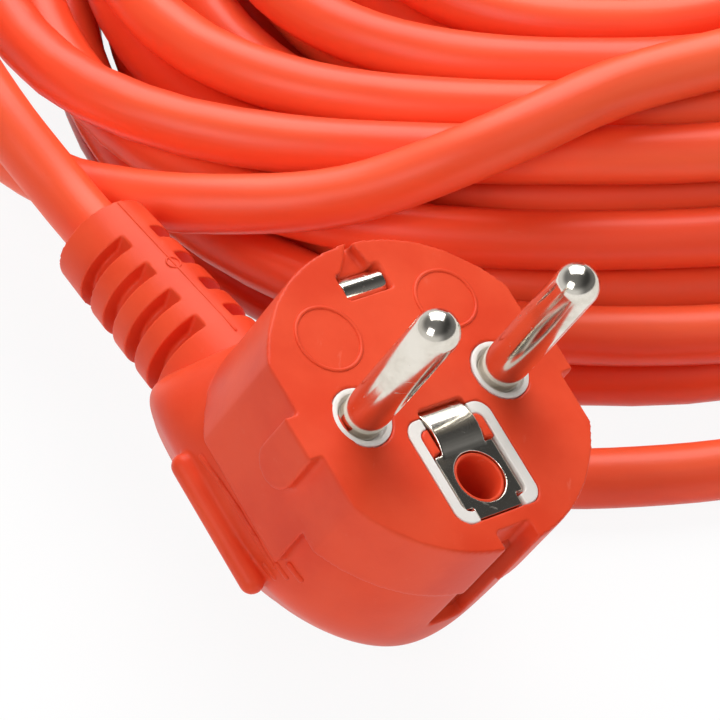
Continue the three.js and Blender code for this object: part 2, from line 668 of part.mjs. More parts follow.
function buildSocket() {
  const socket = new THREE.Group();
  let body = socketOuter().subtract(socketCuts()).subtract(earthBow(clearance));
  for (const side of [-1, 1]) {
    body = body.subtract(sleeve(clearance).translate([(side * pinSpacing) / 2, 0, 0]));
  }
  for (const shape of Object.values(socketInner(clearance))) body = body.subtract(shape);
  add(socket, "coupler_body", body, orangeVinyl());
  add(socket, "socket_face", socketFace(), whiteInsert());
  add(socket, "contact_carrier", contactCarrier(), whiteInsert());
  add(socket, "live_contact", sleeve().translate([-pinSpacing / 2, 0, 0]), brass());
  add(socket, "neutral_contact", sleeve().translate([pinSpacing / 2, 0, 0]), brass());
  add(socket, "earth_bow", earthBow(), nickel());
  add(socket, "shutter", shutter(), whiteInsert());
  add(socket, "shutter_spring", spring(), springSteel());
  for (const [name, shape] of Object.entries(socketInner(0))) {
    const wire = name.split("_").at(-1);
    const look = name.includes("sheath") ? orangeVinyl : name.includes("crimp") ? brass : coreLooks[wire];
    add(socket, name, shape, look());
  }
  return socket;
}

// ---- Cord ----
const layers = [topTurn, thirdTurn, secondTurn, floorTurn];
const reversals = layerTurns.map((_, i) => layerTurns.slice(0, i + 1).reduce((sum, n) => sum + n, 0));
const allTurns = reversals.at(-1);
const smooth = THREE.MathUtils.smoothstep;

/** How far down the layers the cord is after some turns: whole numbers, and the climbs between. */
const layerAt = (turns) => reversals.slice(0, -1)
  .reduce((sum, at) => sum + smooth(turns, at - 0.25, at + 0.25), 0);

/** Share of the way from the outermost turn to the innermost; it grows and falls at a steady rate. */
function inwardShare(turns) {
  const layer = Math.min(reversals.filter((at) => at <= turns).length, layers.length - 1);
  const start = layer === 0 ? 0 : reversals[layer - 1];
  const share = (turns - start) / layerTurns[layer];
  return layer % 2 === 0 ? share : 1 - share;
}

/** A point of the pile's centre line, clockwise from the left as seen from above. */
function pilePoint(turns) {
  const depth = layerAt(turns);
  const upper = layers[Math.min(Math.floor(depth), layers.length - 2)];
  const lower = layers[Math.min(Math.floor(depth), layers.length - 2) + 1];
  const mix = Math.min(depth - Math.min(Math.floor(depth), layers.length - 2), 1);
  const inward = inwardShare(turns);
  const size = {};
  for (const key of Object.keys(innerTurn)) {
    const outer = THREE.MathUtils.lerp(upper[key], lower[key], mix);
    size[key] = THREE.MathUtils.lerp(outer, innerTurn[key], inward);
  }
  const angle = Math.PI - 2 * Math.PI * turns;
  const across = Math.cos(angle);
  const along = Math.sin(angle);
  const halfLong = (size.far - size.near) / 2;
  const radius = (Math.abs(across / size.half) ** size.square
    + Math.abs(along / halfLong) ** size.square) ** (-1 / size.square);
  const height = firstLayerHeight + (layers.length - 1 - depth) * layerRise;
  const x = size.middle + radius * across;
  return new THREE.Vector3(x, (size.near + size.far) / 2 + radius * along, height);
}

const pileLine = [];
for (let i = 0; i <= allTurns * loopSteps; i++) pileLine.push(pilePoint(i / loopSteps));

/** The pile: one unbroken six-sided tube with flat sides above and below, straight at both ends. */
function pile() {
  const up = new THREE.Vector3(0, 0, 1);
  const tangents = pileLine.map((point, i) => {
    const before = pileLine[Math.max(i - 1, 0)];
    const after = pileLine[Math.min(i + 1, pileLine.length - 1)];
    return after.clone().sub(before).setZ(0).normalize();
  });
  const rings = pileLine.map((point, i) => {
    const side = new THREE.Vector3().crossVectors(tangents[i], up).normalize();
    const ring = [];
    for (let k = 0; k < loopSides; k++) {
      const angle = (-2 * Math.PI * k) / loopSides;
      ring.push(point.clone().addScaledVector(side, cordRadius * Math.cos(angle))
        .addScaledVector(up, cordRadius * Math.sin(angle)));
    }
    return ring;
  });
  return skin(rings);
}

/** The least gap between the pile's turns, measured between points of its surface. */
function leastGap(geometry) {
  const corners = geometry.attributes.position;
  const ringPoints = [];
  for (let ring = 0; ring < pileLine.length; ring++) {
    const points = [];
    for (let k = 0; k < loopSides; k++) {
      const here = new THREE.Vector3().fromBufferAttribute(corners, ring * loopSides + k);
      const next = new THREE.Vector3().fromBufferAttribute(corners, ring * loopSides + ((k + 1) % loopSides));
      points.push(here, here.clone().lerp(next, 0.5));
    }
    ringPoints.push(points);
  }
  let least = Infinity;
  for (let i = 0; i < pileLine.length; i++) {
    for (let j = i + loopSteps / 2; j < pileLine.length; j++) {
      if (pileLine[i].distanceTo(pileLine[j]) > 2 * cordDiameter) continue;
      for (const a of ringPoints[i]) {
        for (const b of ringPoints[j]) least = Math.min(least, a.distanceTo(b));
      }
    }
  }
  return least;
}

/** The way the cord runs at one end of the pile. */
const pileHeading = (from, to) => pileLine[to].clone().sub(pileLine[from]).setZ(0).normalize();

/** The centre line of a free stretch: its route between two ends that run straight for a diameter. */
function freeCord(start, startWay, route, end, endWay) {
  const along = (from, way, distance) => from.clone().addScaledVector(way, distance);
  return [
    start, along(start, startWay, cordRadius), along(start, startWay, cordDiameter),
    ...route.map(vector),
    along(end, endWay, -cordDiameter), along(end, endWay, -cordRadius), end,
  ];
}

// ---- Assembly ----
const part = new THREE.Group();
const plug = buildPlug();
plug.rotation.set(
  THREE.MathUtils.degToRad(plugTurn.roll), THREE.MathUtils.degToRad(plugTurn.lean),
  THREE.MathUtils.degToRad(plugTurn.heading), "ZYX");
plug.position.copy(plugFaceAt);
plug.updateMatrixWorld(true);

const socket = buildSocket();
socket.rotation.set(0, Math.PI / 2, Math.PI / 2, "XYZ");
socket.position.copy(socketAt);
socket.updateMatrixWorld(true);

const plugEnd = plugExit.clone().applyMatrix4(plug.matrixWorld);
const plugWay = reliefDirection.clone().transformDirection(plug.matrixWorld);
const socketExit = new THREE.Vector3(0, 0, socketEnd).applyMatrix4(socket.matrixWorld);
const socketWay = new THREE.Vector3(0, 0, 1).transformDirection(socket.matrixWorld);
const last = pileLine.length - 1;
const leadStart = plugEnd.clone().addScaledVector(plugWay, clearance);
const leadEndWay = pileHeading(0, 1);
const leadEnd = pileLine[0].clone().addScaledVector(leadEndWay, -clearance);
const tailWay = pileHeading(last - 1, last);
const tailStart = pileLine[last].clone().addScaledVector(tailWay, clearance);
const tailEnd = socketExit.clone().addScaledVector(socketWay, -clearance);

const cord = new THREE.Group();
const pileGeometry = pile();
add(cord, "cord_coil", pileGeometry, orangeVinyl());
const leadPoints = freeCord(leadStart, plugWay, leadRoute, leadEnd, leadEndWay);
const tailPoints = freeCord(tailStart, tailWay, tailRoute, tailEnd, socketWay);
add(cord, "cord_lead", tube(leadPoints, cordRadius, 44, tubeSides), orangeVinyl());
add(cord, "cord_tail", tube(tailPoints, cordRadius, 34, tubeSides), orangeVinyl());
part.add(plug, socket, cord);

// The origin is on the floor, below the middle of the plug and the socket.
part.updateMatrixWorld(true);
const solidsBox = new THREE.Box3().setFromObject(plug, true);
solidsBox.union(new THREE.Box3().setFromObject(socket, true));
const middle = solidsBox.getCenter(new THREE.Vector3());
part.position.set(-middle.x, -middle.y, -solidsBox.min.z);
part.updateMatrixWorld(true);
console.log(`Least gap between the pile's turns: ${leastGap(pileGeometry).toFixed(2)} mm`);

export default part;
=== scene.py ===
"""Extension cord: an angled earthed plug, a pile of three-core cord and a trailing socket.

Metres, +Z up. Each sub-assembly is a class that builds and dresses its own pieces.
"""

import logging
import math
from dataclasses import dataclass
from enum import Enum
from typing import Any, Callable, Iterable, Sequence

import bmesh
import bpy
import numpy as np
from mathutils import Matrix, Vector


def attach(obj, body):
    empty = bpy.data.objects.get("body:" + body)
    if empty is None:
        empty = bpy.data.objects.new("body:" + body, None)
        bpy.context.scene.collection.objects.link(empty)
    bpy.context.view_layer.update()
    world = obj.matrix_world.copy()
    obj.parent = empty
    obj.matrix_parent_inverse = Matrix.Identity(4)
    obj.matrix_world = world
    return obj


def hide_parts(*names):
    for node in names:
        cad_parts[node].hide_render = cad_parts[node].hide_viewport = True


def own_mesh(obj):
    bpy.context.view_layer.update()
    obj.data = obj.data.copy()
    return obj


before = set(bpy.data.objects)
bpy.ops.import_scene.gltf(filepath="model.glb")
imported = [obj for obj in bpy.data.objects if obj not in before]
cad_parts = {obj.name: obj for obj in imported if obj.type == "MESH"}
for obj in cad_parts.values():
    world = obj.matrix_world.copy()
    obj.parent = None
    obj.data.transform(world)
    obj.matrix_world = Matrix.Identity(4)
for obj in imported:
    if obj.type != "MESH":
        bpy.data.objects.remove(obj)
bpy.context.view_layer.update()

Pair = tuple[float, float]
Triple = tuple[float, float, float]
Box = tuple[Triple, Triple]  # a block's size and its middle
Piece = bpy.types.Object
Profile = Sequence[Pair]

CORD_SET = "cord_set"
MERGE_DISTANCE = 1e-7
SHORTEST_EDGE = 1e-8
SHARP_EDGE = math.radians(35)
WHITE = (1.0, 1.0, 1.0, 1.0)

log = logging.getLogger("extension_cord")


# ---------------------------------------------------------------- places


@dataclass(frozen=True)
class Layout:
    """Where the pieces lie: the places that the solids have, from the layout's own origin."""

    origin: Triple = (-0.006846, -0.079234, 0.000004)
    plug_face: Triple = (0.0, 0.0012, 0.0362)
    plug_roll: float = 23.9
    plug_lean: float = 14.9
    plug_heading: float = 39.2
    socket_mouth: Triple = (0.054, 0.1535, 0.05)
    clearance: float = 0.0003

    def plug_matrix(self) -> Matrix:
        """Plug frame to row frame: +Z out of the face, +X from pin to pin, +Y to the cable."""
        turn = (
            Matrix.Rotation(math.radians(self.plug_heading), 4, "Z")
            @ Matrix.Rotation(math.radians(self.plug_lean), 4, "Y")
            @ Matrix.Rotation(math.radians(self.plug_roll), 4, "X")
        )
        return Matrix.Translation(Vector(self.plug_face) + Vector(self.origin)) @ turn

    def socket_matrix(self) -> Matrix:
        """Socket frame to row frame: +Z out of the mouth, +X from hole to hole."""
        turn = Matrix.Rotation(math.pi / 2, 4, "Y") @ Matrix.Rotation(math.pi / 2, 4, "Z")
        return Matrix.Translation(Vector(self.socket_mouth) + Vector(self.origin)) @ turn


LAYOUT = Layout()


class Slot(Enum):
    """The record's material slots, named beside each new piece."""

    SHELL = "orange_shell"
    SHEATH = "orange_sheath"
    INSERT = "white_insert"
    NICKEL = "nickel"


# ---------------------------------------------------------------- surfaces


def grid_faces(rows: int, columns: int) -> list[list[int]]:
    """Quads of a grid whose rows are rings that close on themselves.

    Args:
        rows: Number of rings.
        columns: Points in each ring.

    Returns:
        Faces as lists of vertex numbers.
    """
    row, column = np.meshgrid(np.arange(rows - 1), np.arange(columns), indexing="ij")
    here = row * columns + column
    beside = row * columns + (column + 1) % columns
    return np.stack([here, beside, beside + columns, here + columns], axis=-1).reshape(-1, 4).tolist()


def mesh_piece(name: str, vertices: np.ndarray, faces: list[list[int]], smooth: bool = True) -> Piece:
    """Puts vertices and faces into a new object, with doubles merged and faces pointing out.

    Args:
        name: The piece's name.
        vertices: Array of points, shape (n, 3).
        faces: Lists of vertex numbers.
        smooth: Whether the faces are shaded smooth.

    Returns:
        The new object, linked to the scene.
    """
    mesh = bpy.data.meshes.new(name)
    mesh.from_pydata(vertices.tolist(), [], faces)
    work = bmesh.new()
    work.from_mesh(mesh)
    bmesh.ops.remove_doubles(work, verts=work.verts, dist=MERGE_DISTANCE)
    bmesh.ops.dissolve_degenerate(work, dist=SHORTEST_EDGE, edges=work.edges)
    bmesh.ops.recalc_face_normals(work, faces=work.faces)
    work.to_mesh(mesh)
    work.free()
    mesh.shade_smooth() if smooth else mesh.shade_flat()
    piece = bpy.data.objects.new(name, mesh)
    bpy.context.scene.collection.objects.link(piece)
    return piece


def loft(name: str, rings: np.ndarray) -> Piece:
    """A closed body through rings of equal counts of points, with flat ends.

    Args:
        name: The piece's name.
        rings: Array of shape (rings, points, 3).

    Returns:
        The new object.
    """
    rows, columns = rings.shape[:2]
    faces = grid_faces(rows, columns)
    faces.append(list(range(columns))[::-1])
    faces.append(list(range((rows - 1) * columns, rows * columns)))
    return mesh_piece(name, rings.reshape(-1, 3), faces)


def prism(name: str, outline: np.ndarray, low: float, high: float) -> Piece:
    """An outline in X and Y, carried straight up from one height to another."""
    floor = np.column_stack([outline, np.full(len(outline), low)])
    roof = np.column_stack([outline, np.full(len(outline), high)])
    return loft(name, np.stack([floor, roof]))


def turned(name: str, profile: Profile, sides: int = 72) -> Piece:
    """A profile of (radius, height) points carried round Z.

    Each point goes to (radius cos a, radius sin a, height) for every angle a. The profile starts and
    ends on the axis, or meets itself.

    Args:
        name: The piece's name.
        profile: The points.
        sides: Points in each ring.

    Returns:
        The new object.
    """
    radius, height = np.array(profile, dtype=float).T
    angle = np.linspace(0, 2 * np.pi, sides, endpoint=False)
    grid = np.stack([
        radius[:, None] * np.cos(angle),
        radius[:, None] * np.sin(angle),
        np.repeat(height[:, None], sides, axis=1),
    ], axis=-1)
    return mesh_piece(name, grid.reshape(-1, 3), grid_faces(len(radius), sides))


def rod(name: str, radius: float, low: float, high: float, x: float = 0.0, y: float = 0.0,
        sides: int = 64) -> Piece:
    """A round bar along Z about (x, y)."""
    angle = np.linspace(0, 2 * np.pi, sides, endpoint=False)
    return prism(name, np.column_stack([x + radius * np.cos(angle), y + radius * np.sin(angle)]), low, high)


def block(name: str, size: Triple, middle: Triple) -> Piece:
    """A rectangular block."""
    half_x, half_y, half_z = (value / 2 for value in size)
    outline = np.array([[half_x, half_y], [-half_x, half_y], [-half_x, -half_y], [half_x, -half_y]])
    return prism(name, outline + np.array(middle[:2]), middle[2] - half_z, middle[2] + half_z)


def rounded_rectangle(left: float, right: float, low: float, high: float, corner: float,
                      steps: int = 8) -> np.ndarray:
    """The outline of a rectangle with round corners: a quarter circle about each inner corner."""
    turn = np.radians(np.linspace(0, 90, steps + 1))
    parts = []
    for x, y, start in ((right, high, 0), (left, high, 90), (left, low, 180), (right, low, 270)):
        middle_x = x - math.copysign(corner, x - (left + right) / 2)
        middle_y = y - math.copysign(corner, y - (low + high) / 2)
        angle = turn + math.radians(start)
        parts.append(np.column_stack([middle_x + corner * np.cos(angle), middle_y + corner * np.sin(angle)]))
    return np.concatenate(parts)


def flatted_circle(radius: float, flat: float, count: int = 160) -> np.ndarray:
    """A circle whose x is held between -flat and flat."""
    angle = 2 * np.pi * (np.arange(count) + 0.5) / count
    return np.column_stack([np.clip(radius * np.cos(angle), -flat, flat), radius * np.sin(angle)])


def ribbon(name: str, path: np.ndarray, half_widths: Sequence[float], thickness: float) -> Piece:
    """A bent strip of sheet metal along a path in Y and Z, as wide in X as half_widths say.

    At each point the section is a rectangle, half the thickness to both sides of the path along
    its normal and half_widths to both sides in X.

    Args:
        name: The piece's name.
        path: Points (y, z), shape (n, 2).
        half_widths: Half width at each point.
        thickness: The sheet's thickness.

    Returns:
        The new object.
    """
    along = np.gradient(path, axis=0)
    along /= np.linalg.norm(along, axis=1, keepdims=True)
    normal = np.column_stack([-along[:, 1], along[:, 0]]) * thickness / 2
    width = np.asarray(half_widths, dtype=float)
    sides = ((-1, -1), (1, -1), (1, 1), (-1, 1))
    rings = np.stack([
        np.column_stack([across * width, path[:, 0] + lift * normal[:, 0], path[:, 1] + lift * normal[:, 1]])
        for across, lift in sides
    ], axis=1)
    return loft(name, rings)


def bent_path(corners: Sequence[tuple[float, float]], radius: float, steps: int = 8) -> np.ndarray:
    """A path of straight runs whose inner corners are quadratic bends that start a radius away."""
    points = [np.array([corners[0]], dtype=float)]
    share = np.linspace(0, 1, steps + 1)[:, None]
    for before, corner, after in zip(corners, corners[1:], corners[2:]):
        here = np.array(corner, dtype=float)
        start = here + radius * (np.array(before) - here) / np.linalg.norm(np.array(before) - here)
        end = here + radius * (np.array(after) - here) / np.linalg.norm(np.array(after) - here)
        points.append((1 - share) ** 2 * start + 2 * share * (1 - share) * here + share**2 * end)
    points.append(np.array([corners[-1]], dtype=float))
    return np.concatenate(points)


# ---------------------------------------------------------------- joining and cutting


def apply_modifiers(piece: Piece) -> Piece:
    """Turns a piece's modifiers into its mesh."""
    graph = bpy.context.evaluated_depsgraph_get()
    done = bpy.data.meshes.new_from_object(piece.evaluated_get(graph))
    piece.modifiers.clear()
    old, piece.data = piece.data, done
    bpy.data.meshes.remove(old)
    return piece


def discard(pieces: Iterable[Piece]) -> None:
    """Deletes pieces that were only tools for others."""
    for piece in pieces:
        mesh = piece.data
        bpy.data.objects.remove(piece)
        bpy.data.meshes.remove(mesh)


def cut(piece: Piece, cutters: Sequence[Piece], keep: bool = False) -> Piece:
    """Takes the cutters' space out of a piece.

    Args:
        piece: The piece that is cut.
        cutters: Closed pieces.
        keep: Whether the cutters stay for another cut.

    Returns:
        The same piece.
    """
    for cutter in cutters:
        modifier = piece.modifiers.new("cut", "BOOLEAN")
        modifier.operation = "DIFFERENCE"
        modifier.solver = "EXACT"
        modifier.object = cutter
    apply_modifiers(piece)
    if not keep:
        discard(cutters)
    return piece


def fuse(name: str, parts: Sequence[Piece], voxel: float, rounds: int = 4,
         most_faces: int = 190_000) -> Piece:
    """Joins overlapping closed pieces into one moulding with softly rounded edges.

    Args:
        name: The new piece's name.
        parts: Closed pieces, which are used up.
        voxel: Grid size of the joined surface.
        rounds: Smoothing rounds, which set how soft the edges are.
        most_faces: Most triangles that are kept.

    Returns:
        The new piece.
    """
    piece = join(name, parts)
    remesh = piece.modifiers.new("join", "REMESH")
    remesh.mode = "VOXEL"
    remesh.voxel_size = voxel * 1.0
    remesh.use_smooth_shade = True
    smooth = piece.modifiers.new("soften", "SMOOTH")
    smooth.factor = 0.5
    smooth.iterations = rounds
    apply_modifiers(piece)
    triangles = 2 * len(piece.data.polygons)
    if triangles > most_faces:
        thin = piece.modifiers.new("thin", "DECIMATE")
        thin.ratio = most_faces / triangles
        apply_modifiers(piece)
    piece.data.shade_smooth()
    return piece


def join(name: str, parts: Sequence[Piece]) -> Piece:
    """Puts parts that stay closed bodies of their own into one piece.

    Args:
        name: The new piece's name.
        parts: Pieces, which are used up.

    Returns:
        The new piece.
    """
    work = bmesh.new()
    for part in parts:
        work.from_mesh(part.data)
    mesh = bpy.data.meshes.new(name)
    work.to_mesh(mesh)
    work.free()
    discard(parts)
    piece = bpy.data.objects.new(name, mesh)
    bpy.context.scene.collection.objects.link(piece)
    return piece


def bevelled(piece: Piece, width: float, segments: int = 3) -> Piece:
    """Rounds a piece's sharp edges and keeps its flats flat in the shading."""
    bevel = piece.modifiers.new("edges", "BEVEL")
    bevel.width = width
    bevel.segments = segments
    bevel.limit_method = "ANGLE"
    bevel.angle_limit = SHARP_EDGE
    apply_modifiers(piece)
    piece.data.shade_smooth()
    flats = piece.modifiers.new("flats", "WEIGHTED_NORMAL")
    flats.keep_sharp = True
    return apply_modifiers(piece)


def place(piece: Piece, matrix: Matrix) -> Piece:
    """Moves a piece's mesh, so that its object stays at the origin."""
    piece.data.transform(matrix)
    piece.data.update()
    return piece


def dress(piece: Piece, material: bpy.types.Material, slot: Slot, *nodes: str) -> Piece:
    """Gives a new piece its material and its body, and reports it.

    Args:
        piece: The new piece.
        material: Its finish.
        slot: Its slot in the record; not used.
        nodes: The solids that it stands for, if any.

    Returns:
        The same piece.
    """
    piece.data.materials.clear()
    piece.data.materials.append(material)
    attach(piece, CORD_SET)
    log.info("%s: %d faces", piece.name, len(piece.data.polygons))
    if nodes:
        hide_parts(*nodes)
    return piece


# ---------------------------------------------------------------- cord


def curve_through(points: np.ndarray, steps: int) -> np.ndarray:
    """A smooth curve through points, with knots spaced by the root of each distance.

    Between two points the curve is blended from straight lines through its neighbours
    (Barry and Goldman's pyramid). The end neighbours are the second points mirrored.

    Args:
        points: Array of shape (n, 3).
        steps: Steps between two points.

    Returns:
        Array of shape ((n - 1) * steps + 1, 3).
    """
    ends = np.vstack([2 * points[0] - points[1], points, 2 * points[-1] - points[-2]])
    quads = np.stack([ends[:-3], ends[1:-2], ends[2:-1], ends[3:]])[:, :, None, :]
    gaps = np.linalg.norm(np.diff(quads, axis=0), axis=-1, keepdims=True) ** 0.5
    times = np.concatenate([np.zeros_like(gaps[:1]), np.cumsum(gaps, axis=0)])
    at = times[1] + (np.arange(steps) / steps)[None, :, None] * (times[2] - times[1])

    def between(before: np.ndarray, after: np.ndarray, i: int, j: int) -> np.ndarray:
        """The straight line that passes before at time i and after at time j."""
        return ((times[j] - at) * before + (at - times[i]) * after) / (times[j] - times[i])

    first = [between(quads[i], quads[i + 1], i, i + 1) for i in range(3)]
    second = [between(first[i], first[i + 1], i, i + 2) for i in range(2)]
    curve = between(second[0], second[1], 1, 2)
    return np.vstack([curve.reshape(-1, points.shape[1]), points[-1:]])


@dataclass(frozen=True)
class Turn:
    """One turn of the pile seen from above: a rounded oval, squarer the larger its last value."""

    middle: float
    half: float
    near: float
    far: float
    square: float

    def values(self) -> np.ndarray:
        """The five values as an array."""
        return np.array([self.middle, self.half, self.near, self.far, self.square])


@dataclass
class Cord:
    """The whole cord: out of the plug's relief, through the pile, into the socket's relief."""

    diameter: float = 0.0068
    first_layer: float = 0.0034
    layer_rise: float = 0.00695
    layer_turns: tuple[float, ...] = (4.25, 5.0, 6.0, 5.25)
    drop_turns: float = 0.5
    layers: tuple[Turn, ...] = (
        Turn(0.007, 0.0736, 0.0448, 0.172, 3.2),
        Turn(0.020, 0.071, 0.0401, 0.1805, 2.5),
        Turn(0.022, 0.0707, 0.0318, 0.1805, 2.25),
        Turn(0.0235, 0.0705, 0.0294, 0.1805, 2.1),
    )
    inner: Turn = Turn(0.022, 0.027, 0.0761, 0.135, 2.1)
    lead_route: tuple[Triple, ...] = (
        (-0.047, 0.0532, 0.027), (-0.054, 0.065, 0.030), (-0.059, 0.079, 0.0314),
        (-0.0603, 0.094, 0.0314), (-0.054, 0.109, 0.0314), (-0.039, 0.1185, 0.0314),
        (-0.015, 0.122, 0.0314), (0.015, 0.123, 0.0314), (0.043, 0.119, 0.0314),
        (0.063, 0.106, 0.0314), (0.069, 0.090, 0.0314), (0.062, 0.076, 0.0314),
        (0.050, 0.0665, 0.0314), (0.036, 0.0595, 0.0314), (0.0214, 0.0536, 0.0314),
        (0.008, 0.046, 0.0303), (-0.0057, 0.0433, 0.0256), (-0.014, 0.043, 0.0238),
        (-0.0266, 0.0452, 0.0216), (-0.034, 0.0482, 0.0198), (-0.041, 0.0522, 0.0182),
        (-0.0485, 0.0595, 0.0174), (-0.0555, 0.0695, 0.018), (-0.062, 0.081, 0.0204),
        (-0.0654, 0.092, 0.023),
    )
    tail_route: tuple[Triple, ...] = (
        (0.094, 0.078, 0.0036), (0.083, 0.055, 0.0036), (0.065, 0.0354, 0.0036),
        (0.045, 0.0248, 0.0036), (0.024, 0.0204, 0.0036), (0.002, 0.0214, 0.0036),
        (-0.015, 0.0285, 0.0036), (-0.027, 0.042, 0.0036), (-0.0386, 0.0604, 0.0036),
        (-0.051, 0.080, 0.0038), (-0.063, 0.100, 0.006), (-0.0715, 0.119, 0.0125),
        (-0.0716, 0.136, 0.025), (-0.060, 0.149, 0.0385),
    )
    hidden: float = 0.027
    loop_steps: int = 72
    route_steps: int = 8
    ring_step: float = 0.003
    sides: int = 20
    cores: int = 3
    lay_length: float = 0.052
    lay_swell: float = 0.007

    def pile_line(self) -> np.ndarray:
        """The pile's centre line, clockwise from the left as seen from above.

        Turn by turn the oval shrinks from its layer's outermost turn to the inner one, or grows
        back. It goes down one layer in the half turn round each reversal, along a smooth step.

        Returns:
            Points in the layout's frame, shape (n, 3).
        """
        ends = np.cumsum(self.layer_turns)
        starts = np.concatenate([[0.0], ends[:-1]])
        turns = np.arange(int(ends[-1] * self.loop_steps) + 1) / self.loop_steps
        climb = np.clip((turns[:, None] - ends[None, :-1] + self.drop_turns / 2) / self.drop_turns, 0, 1)
        depth = (climb**2 * (3 - 2 * climb)).sum(axis=1)
        layer = np.clip(np.searchsorted(ends, turns, side="right"), 0, len(ends) - 1)
        share = (turns - starts[layer]) / np.array(self.layer_turns)[layer]
        inward = np.where(layer % 2 == 0, share, 1 - share)[:, None]
        table = np.stack([turn.values() for turn in self.layers])
        upper = np.clip(np.floor(depth).astype(int), 0, len(table) - 2)
        mix = np.clip(depth - upper, 0, 1)[:, None]
        outer = table[upper] * (1 - mix) + table[upper + 1] * mix
        middle, half, near, far, square = (outer * (1 - inward) + self.inner.values() * inward).T
        angle = np.pi - 2 * np.pi * turns
        across, along = np.cos(angle), np.sin(angle)
        share_x, share_y = np.abs(across / half), np.abs(2 * along / (far - near))
        reach = (share_x**square + share_y**square) ** (-1 / square)
        height = self.first_layer + (len(table) - 1 - depth) * self.layer_rise
        return np.column_stack([middle + reach * across, (near + far) / 2 + reach * along, height])

    def centre_line(self, start: Vector, start_way: Vector, end: Vector, end_way: Vector) -> np.ndarray:
        """The whole centre line in the row frame, at even steps, with its ends hidden in the reliefs.

        Args:
            start: Where the cord leaves the plug's relief.
            start_way: Its direction there.
            end: Where it enters the socket's relief.
            end_way: Its direction there.

        Returns:
            Points, shape (n, 3).
        """
        origin = np.array(LAYOUT.origin)
        pile = self.pile_line() + origin
        out, into = np.array(start_way), np.array(end_way)
        first, last = np.array(start), np.array(end)
        ahead = np.array([-self.hidden, -self.hidden / 2, 0.0, self.diameter / 2, self.diameter])[:, None]
        lead_in = (pile[1] - pile[0]) / np.linalg.norm(pile[1] - pile[0])
        lead = np.vstack([
            first + ahead * out, np.array(self.lead_route) + origin,
            pile[:1] - self.diameter * lead_in, pile[:1],
        ])
        tail_out = (pile[-1] - pile[-2]) / np.linalg.norm(pile[-1] - pile[-2])
        tail = np.vstack([
            pile[-1:], pile[-1:] + self.diameter * tail_out, np.array(self.tail_route) + origin,
            last - ahead[::-1] * into,
        ])
        line = np.vstack([
            curve_through(lead, self.route_steps)[:-1], pile, curve_through(tail, self.route_steps)[1:],
        ])
        length = np.concatenate([[0.0], np.cumsum(np.linalg.norm(np.diff(line, axis=0), axis=1))])
        even = np.linspace(0, length[-1], int(length[-1] / self.ring_step) + 1)
        return np.column_stack([np.interp(even, length, line[:, axis]) for axis in range(3)])

    def build(self, line: np.ndarray) -> Piece:
        """The cord's tube: a round section that swells very slightly over each of the twisted cores.

        Around each point of the line lies a ring in the plane square to it. The ring's radius is
        R (1 - swell + swell cos(cores (angle - 2 pi distance / lay))). Each point also keeps its
        place on the straightened cord, which the sheath's finish reads.

        Args:
            line: The centre line at even steps.

        Returns:
            The piece.
        """
        radius = self.diameter / 2
        way = np.gradient(line, axis=0)
        way /= np.linalg.norm(way, axis=1, keepdims=True)
        side = np.cross(way, [0.0, 0.0, 1.0])
        side /= np.linalg.norm(side, axis=1, keepdims=True)
        up = np.cross(side, way)
        distance = np.concatenate([[0.0], np.cumsum(np.linalg.norm(np.diff(line, axis=0), axis=1))])
        angle = np.linspace(0, 2 * np.pi, self.sides, endpoint=False)
        twist = angle[None, :] - 2 * np.pi * distance[:, None] / self.lay_length
        size = radius * (1 - self.lay_swell + self.lay_swell * np.cos(self.cores * twist))
        rings = (
            line[:, None] + side[:, None] * (size * np.cos(angle))[:, :, None]
            + up[:, None] * (size * np.sin(angle))[:, :, None]
        )
        piece = loft("cord", rings)
        straight = np.stack([
            np.broadcast_to(radius * np.cos(angle), size.shape),
            np.broadcast_to(radius * np.sin(angle), size.shape),
            np.broadcast_to(distance[:, None], size.shape),
        ], axis=-1).reshape(-1, 3)
        store = piece.data.attributes.new("straightened", "FLOAT_VECTOR", "POINT")
        store.data.foreach_set("vector", straight.astype(np.float32).ravel())
        return piece


@dataclass
class Relief:
    """The slotted strain relief: root at the origin, running along +Y."""

    root: float = 0.0067
    end: float = 0.0058
    length: float = 0.020
    slots: int = 4
    pitch: float = 0.0045
    slot_width: float = 0.0019
    web: float = 0.0036
    web_middle: float = -0.0006
    collar: float = 0.0045
    heart: float = 0.0042
    bore: float = 0.0035
    bore_start: float = 0.002
    spare: float = 0.002
    voxel: float = 0.00016

    def build(self, overlap: float) -> Piece:
        """A cone with slots cut from both sides down to a round heart, leaving a web above and below.

        Args:
            overlap: How far the root reaches back into the housing.

        Returns:
            The relief, running along +Y.
        """
        body = turned("relief", [
            (0.0, -overlap), (self.root, -overlap), (self.root, 0.0),
            (self.end, self.length), (self.bore, self.length), (self.bore, self.bore_start),
            (0.0, self.bore_start),
        ])
        for i in range(self.slots):
            high = self.length - self.collar - i * self.pitch
            low = high - self.slot_width
            disc = rod("disc", self.root + self.spare, low, high)
            heart = rod("heart", self.heart, low - self.spare / 2, high + self.spare / 2)
            web = block("web", (self.web, 3 * self.root, 2 * self.spare),
                        (self.web_middle, 0.0, (low + high) / 2))
            cut(body, [cut(disc, [heart, web])])
        return place(fuse("slotted_relief", [body], self.voxel, 1), Matrix.Rotation(-math.pi / 2, 4, "X"))


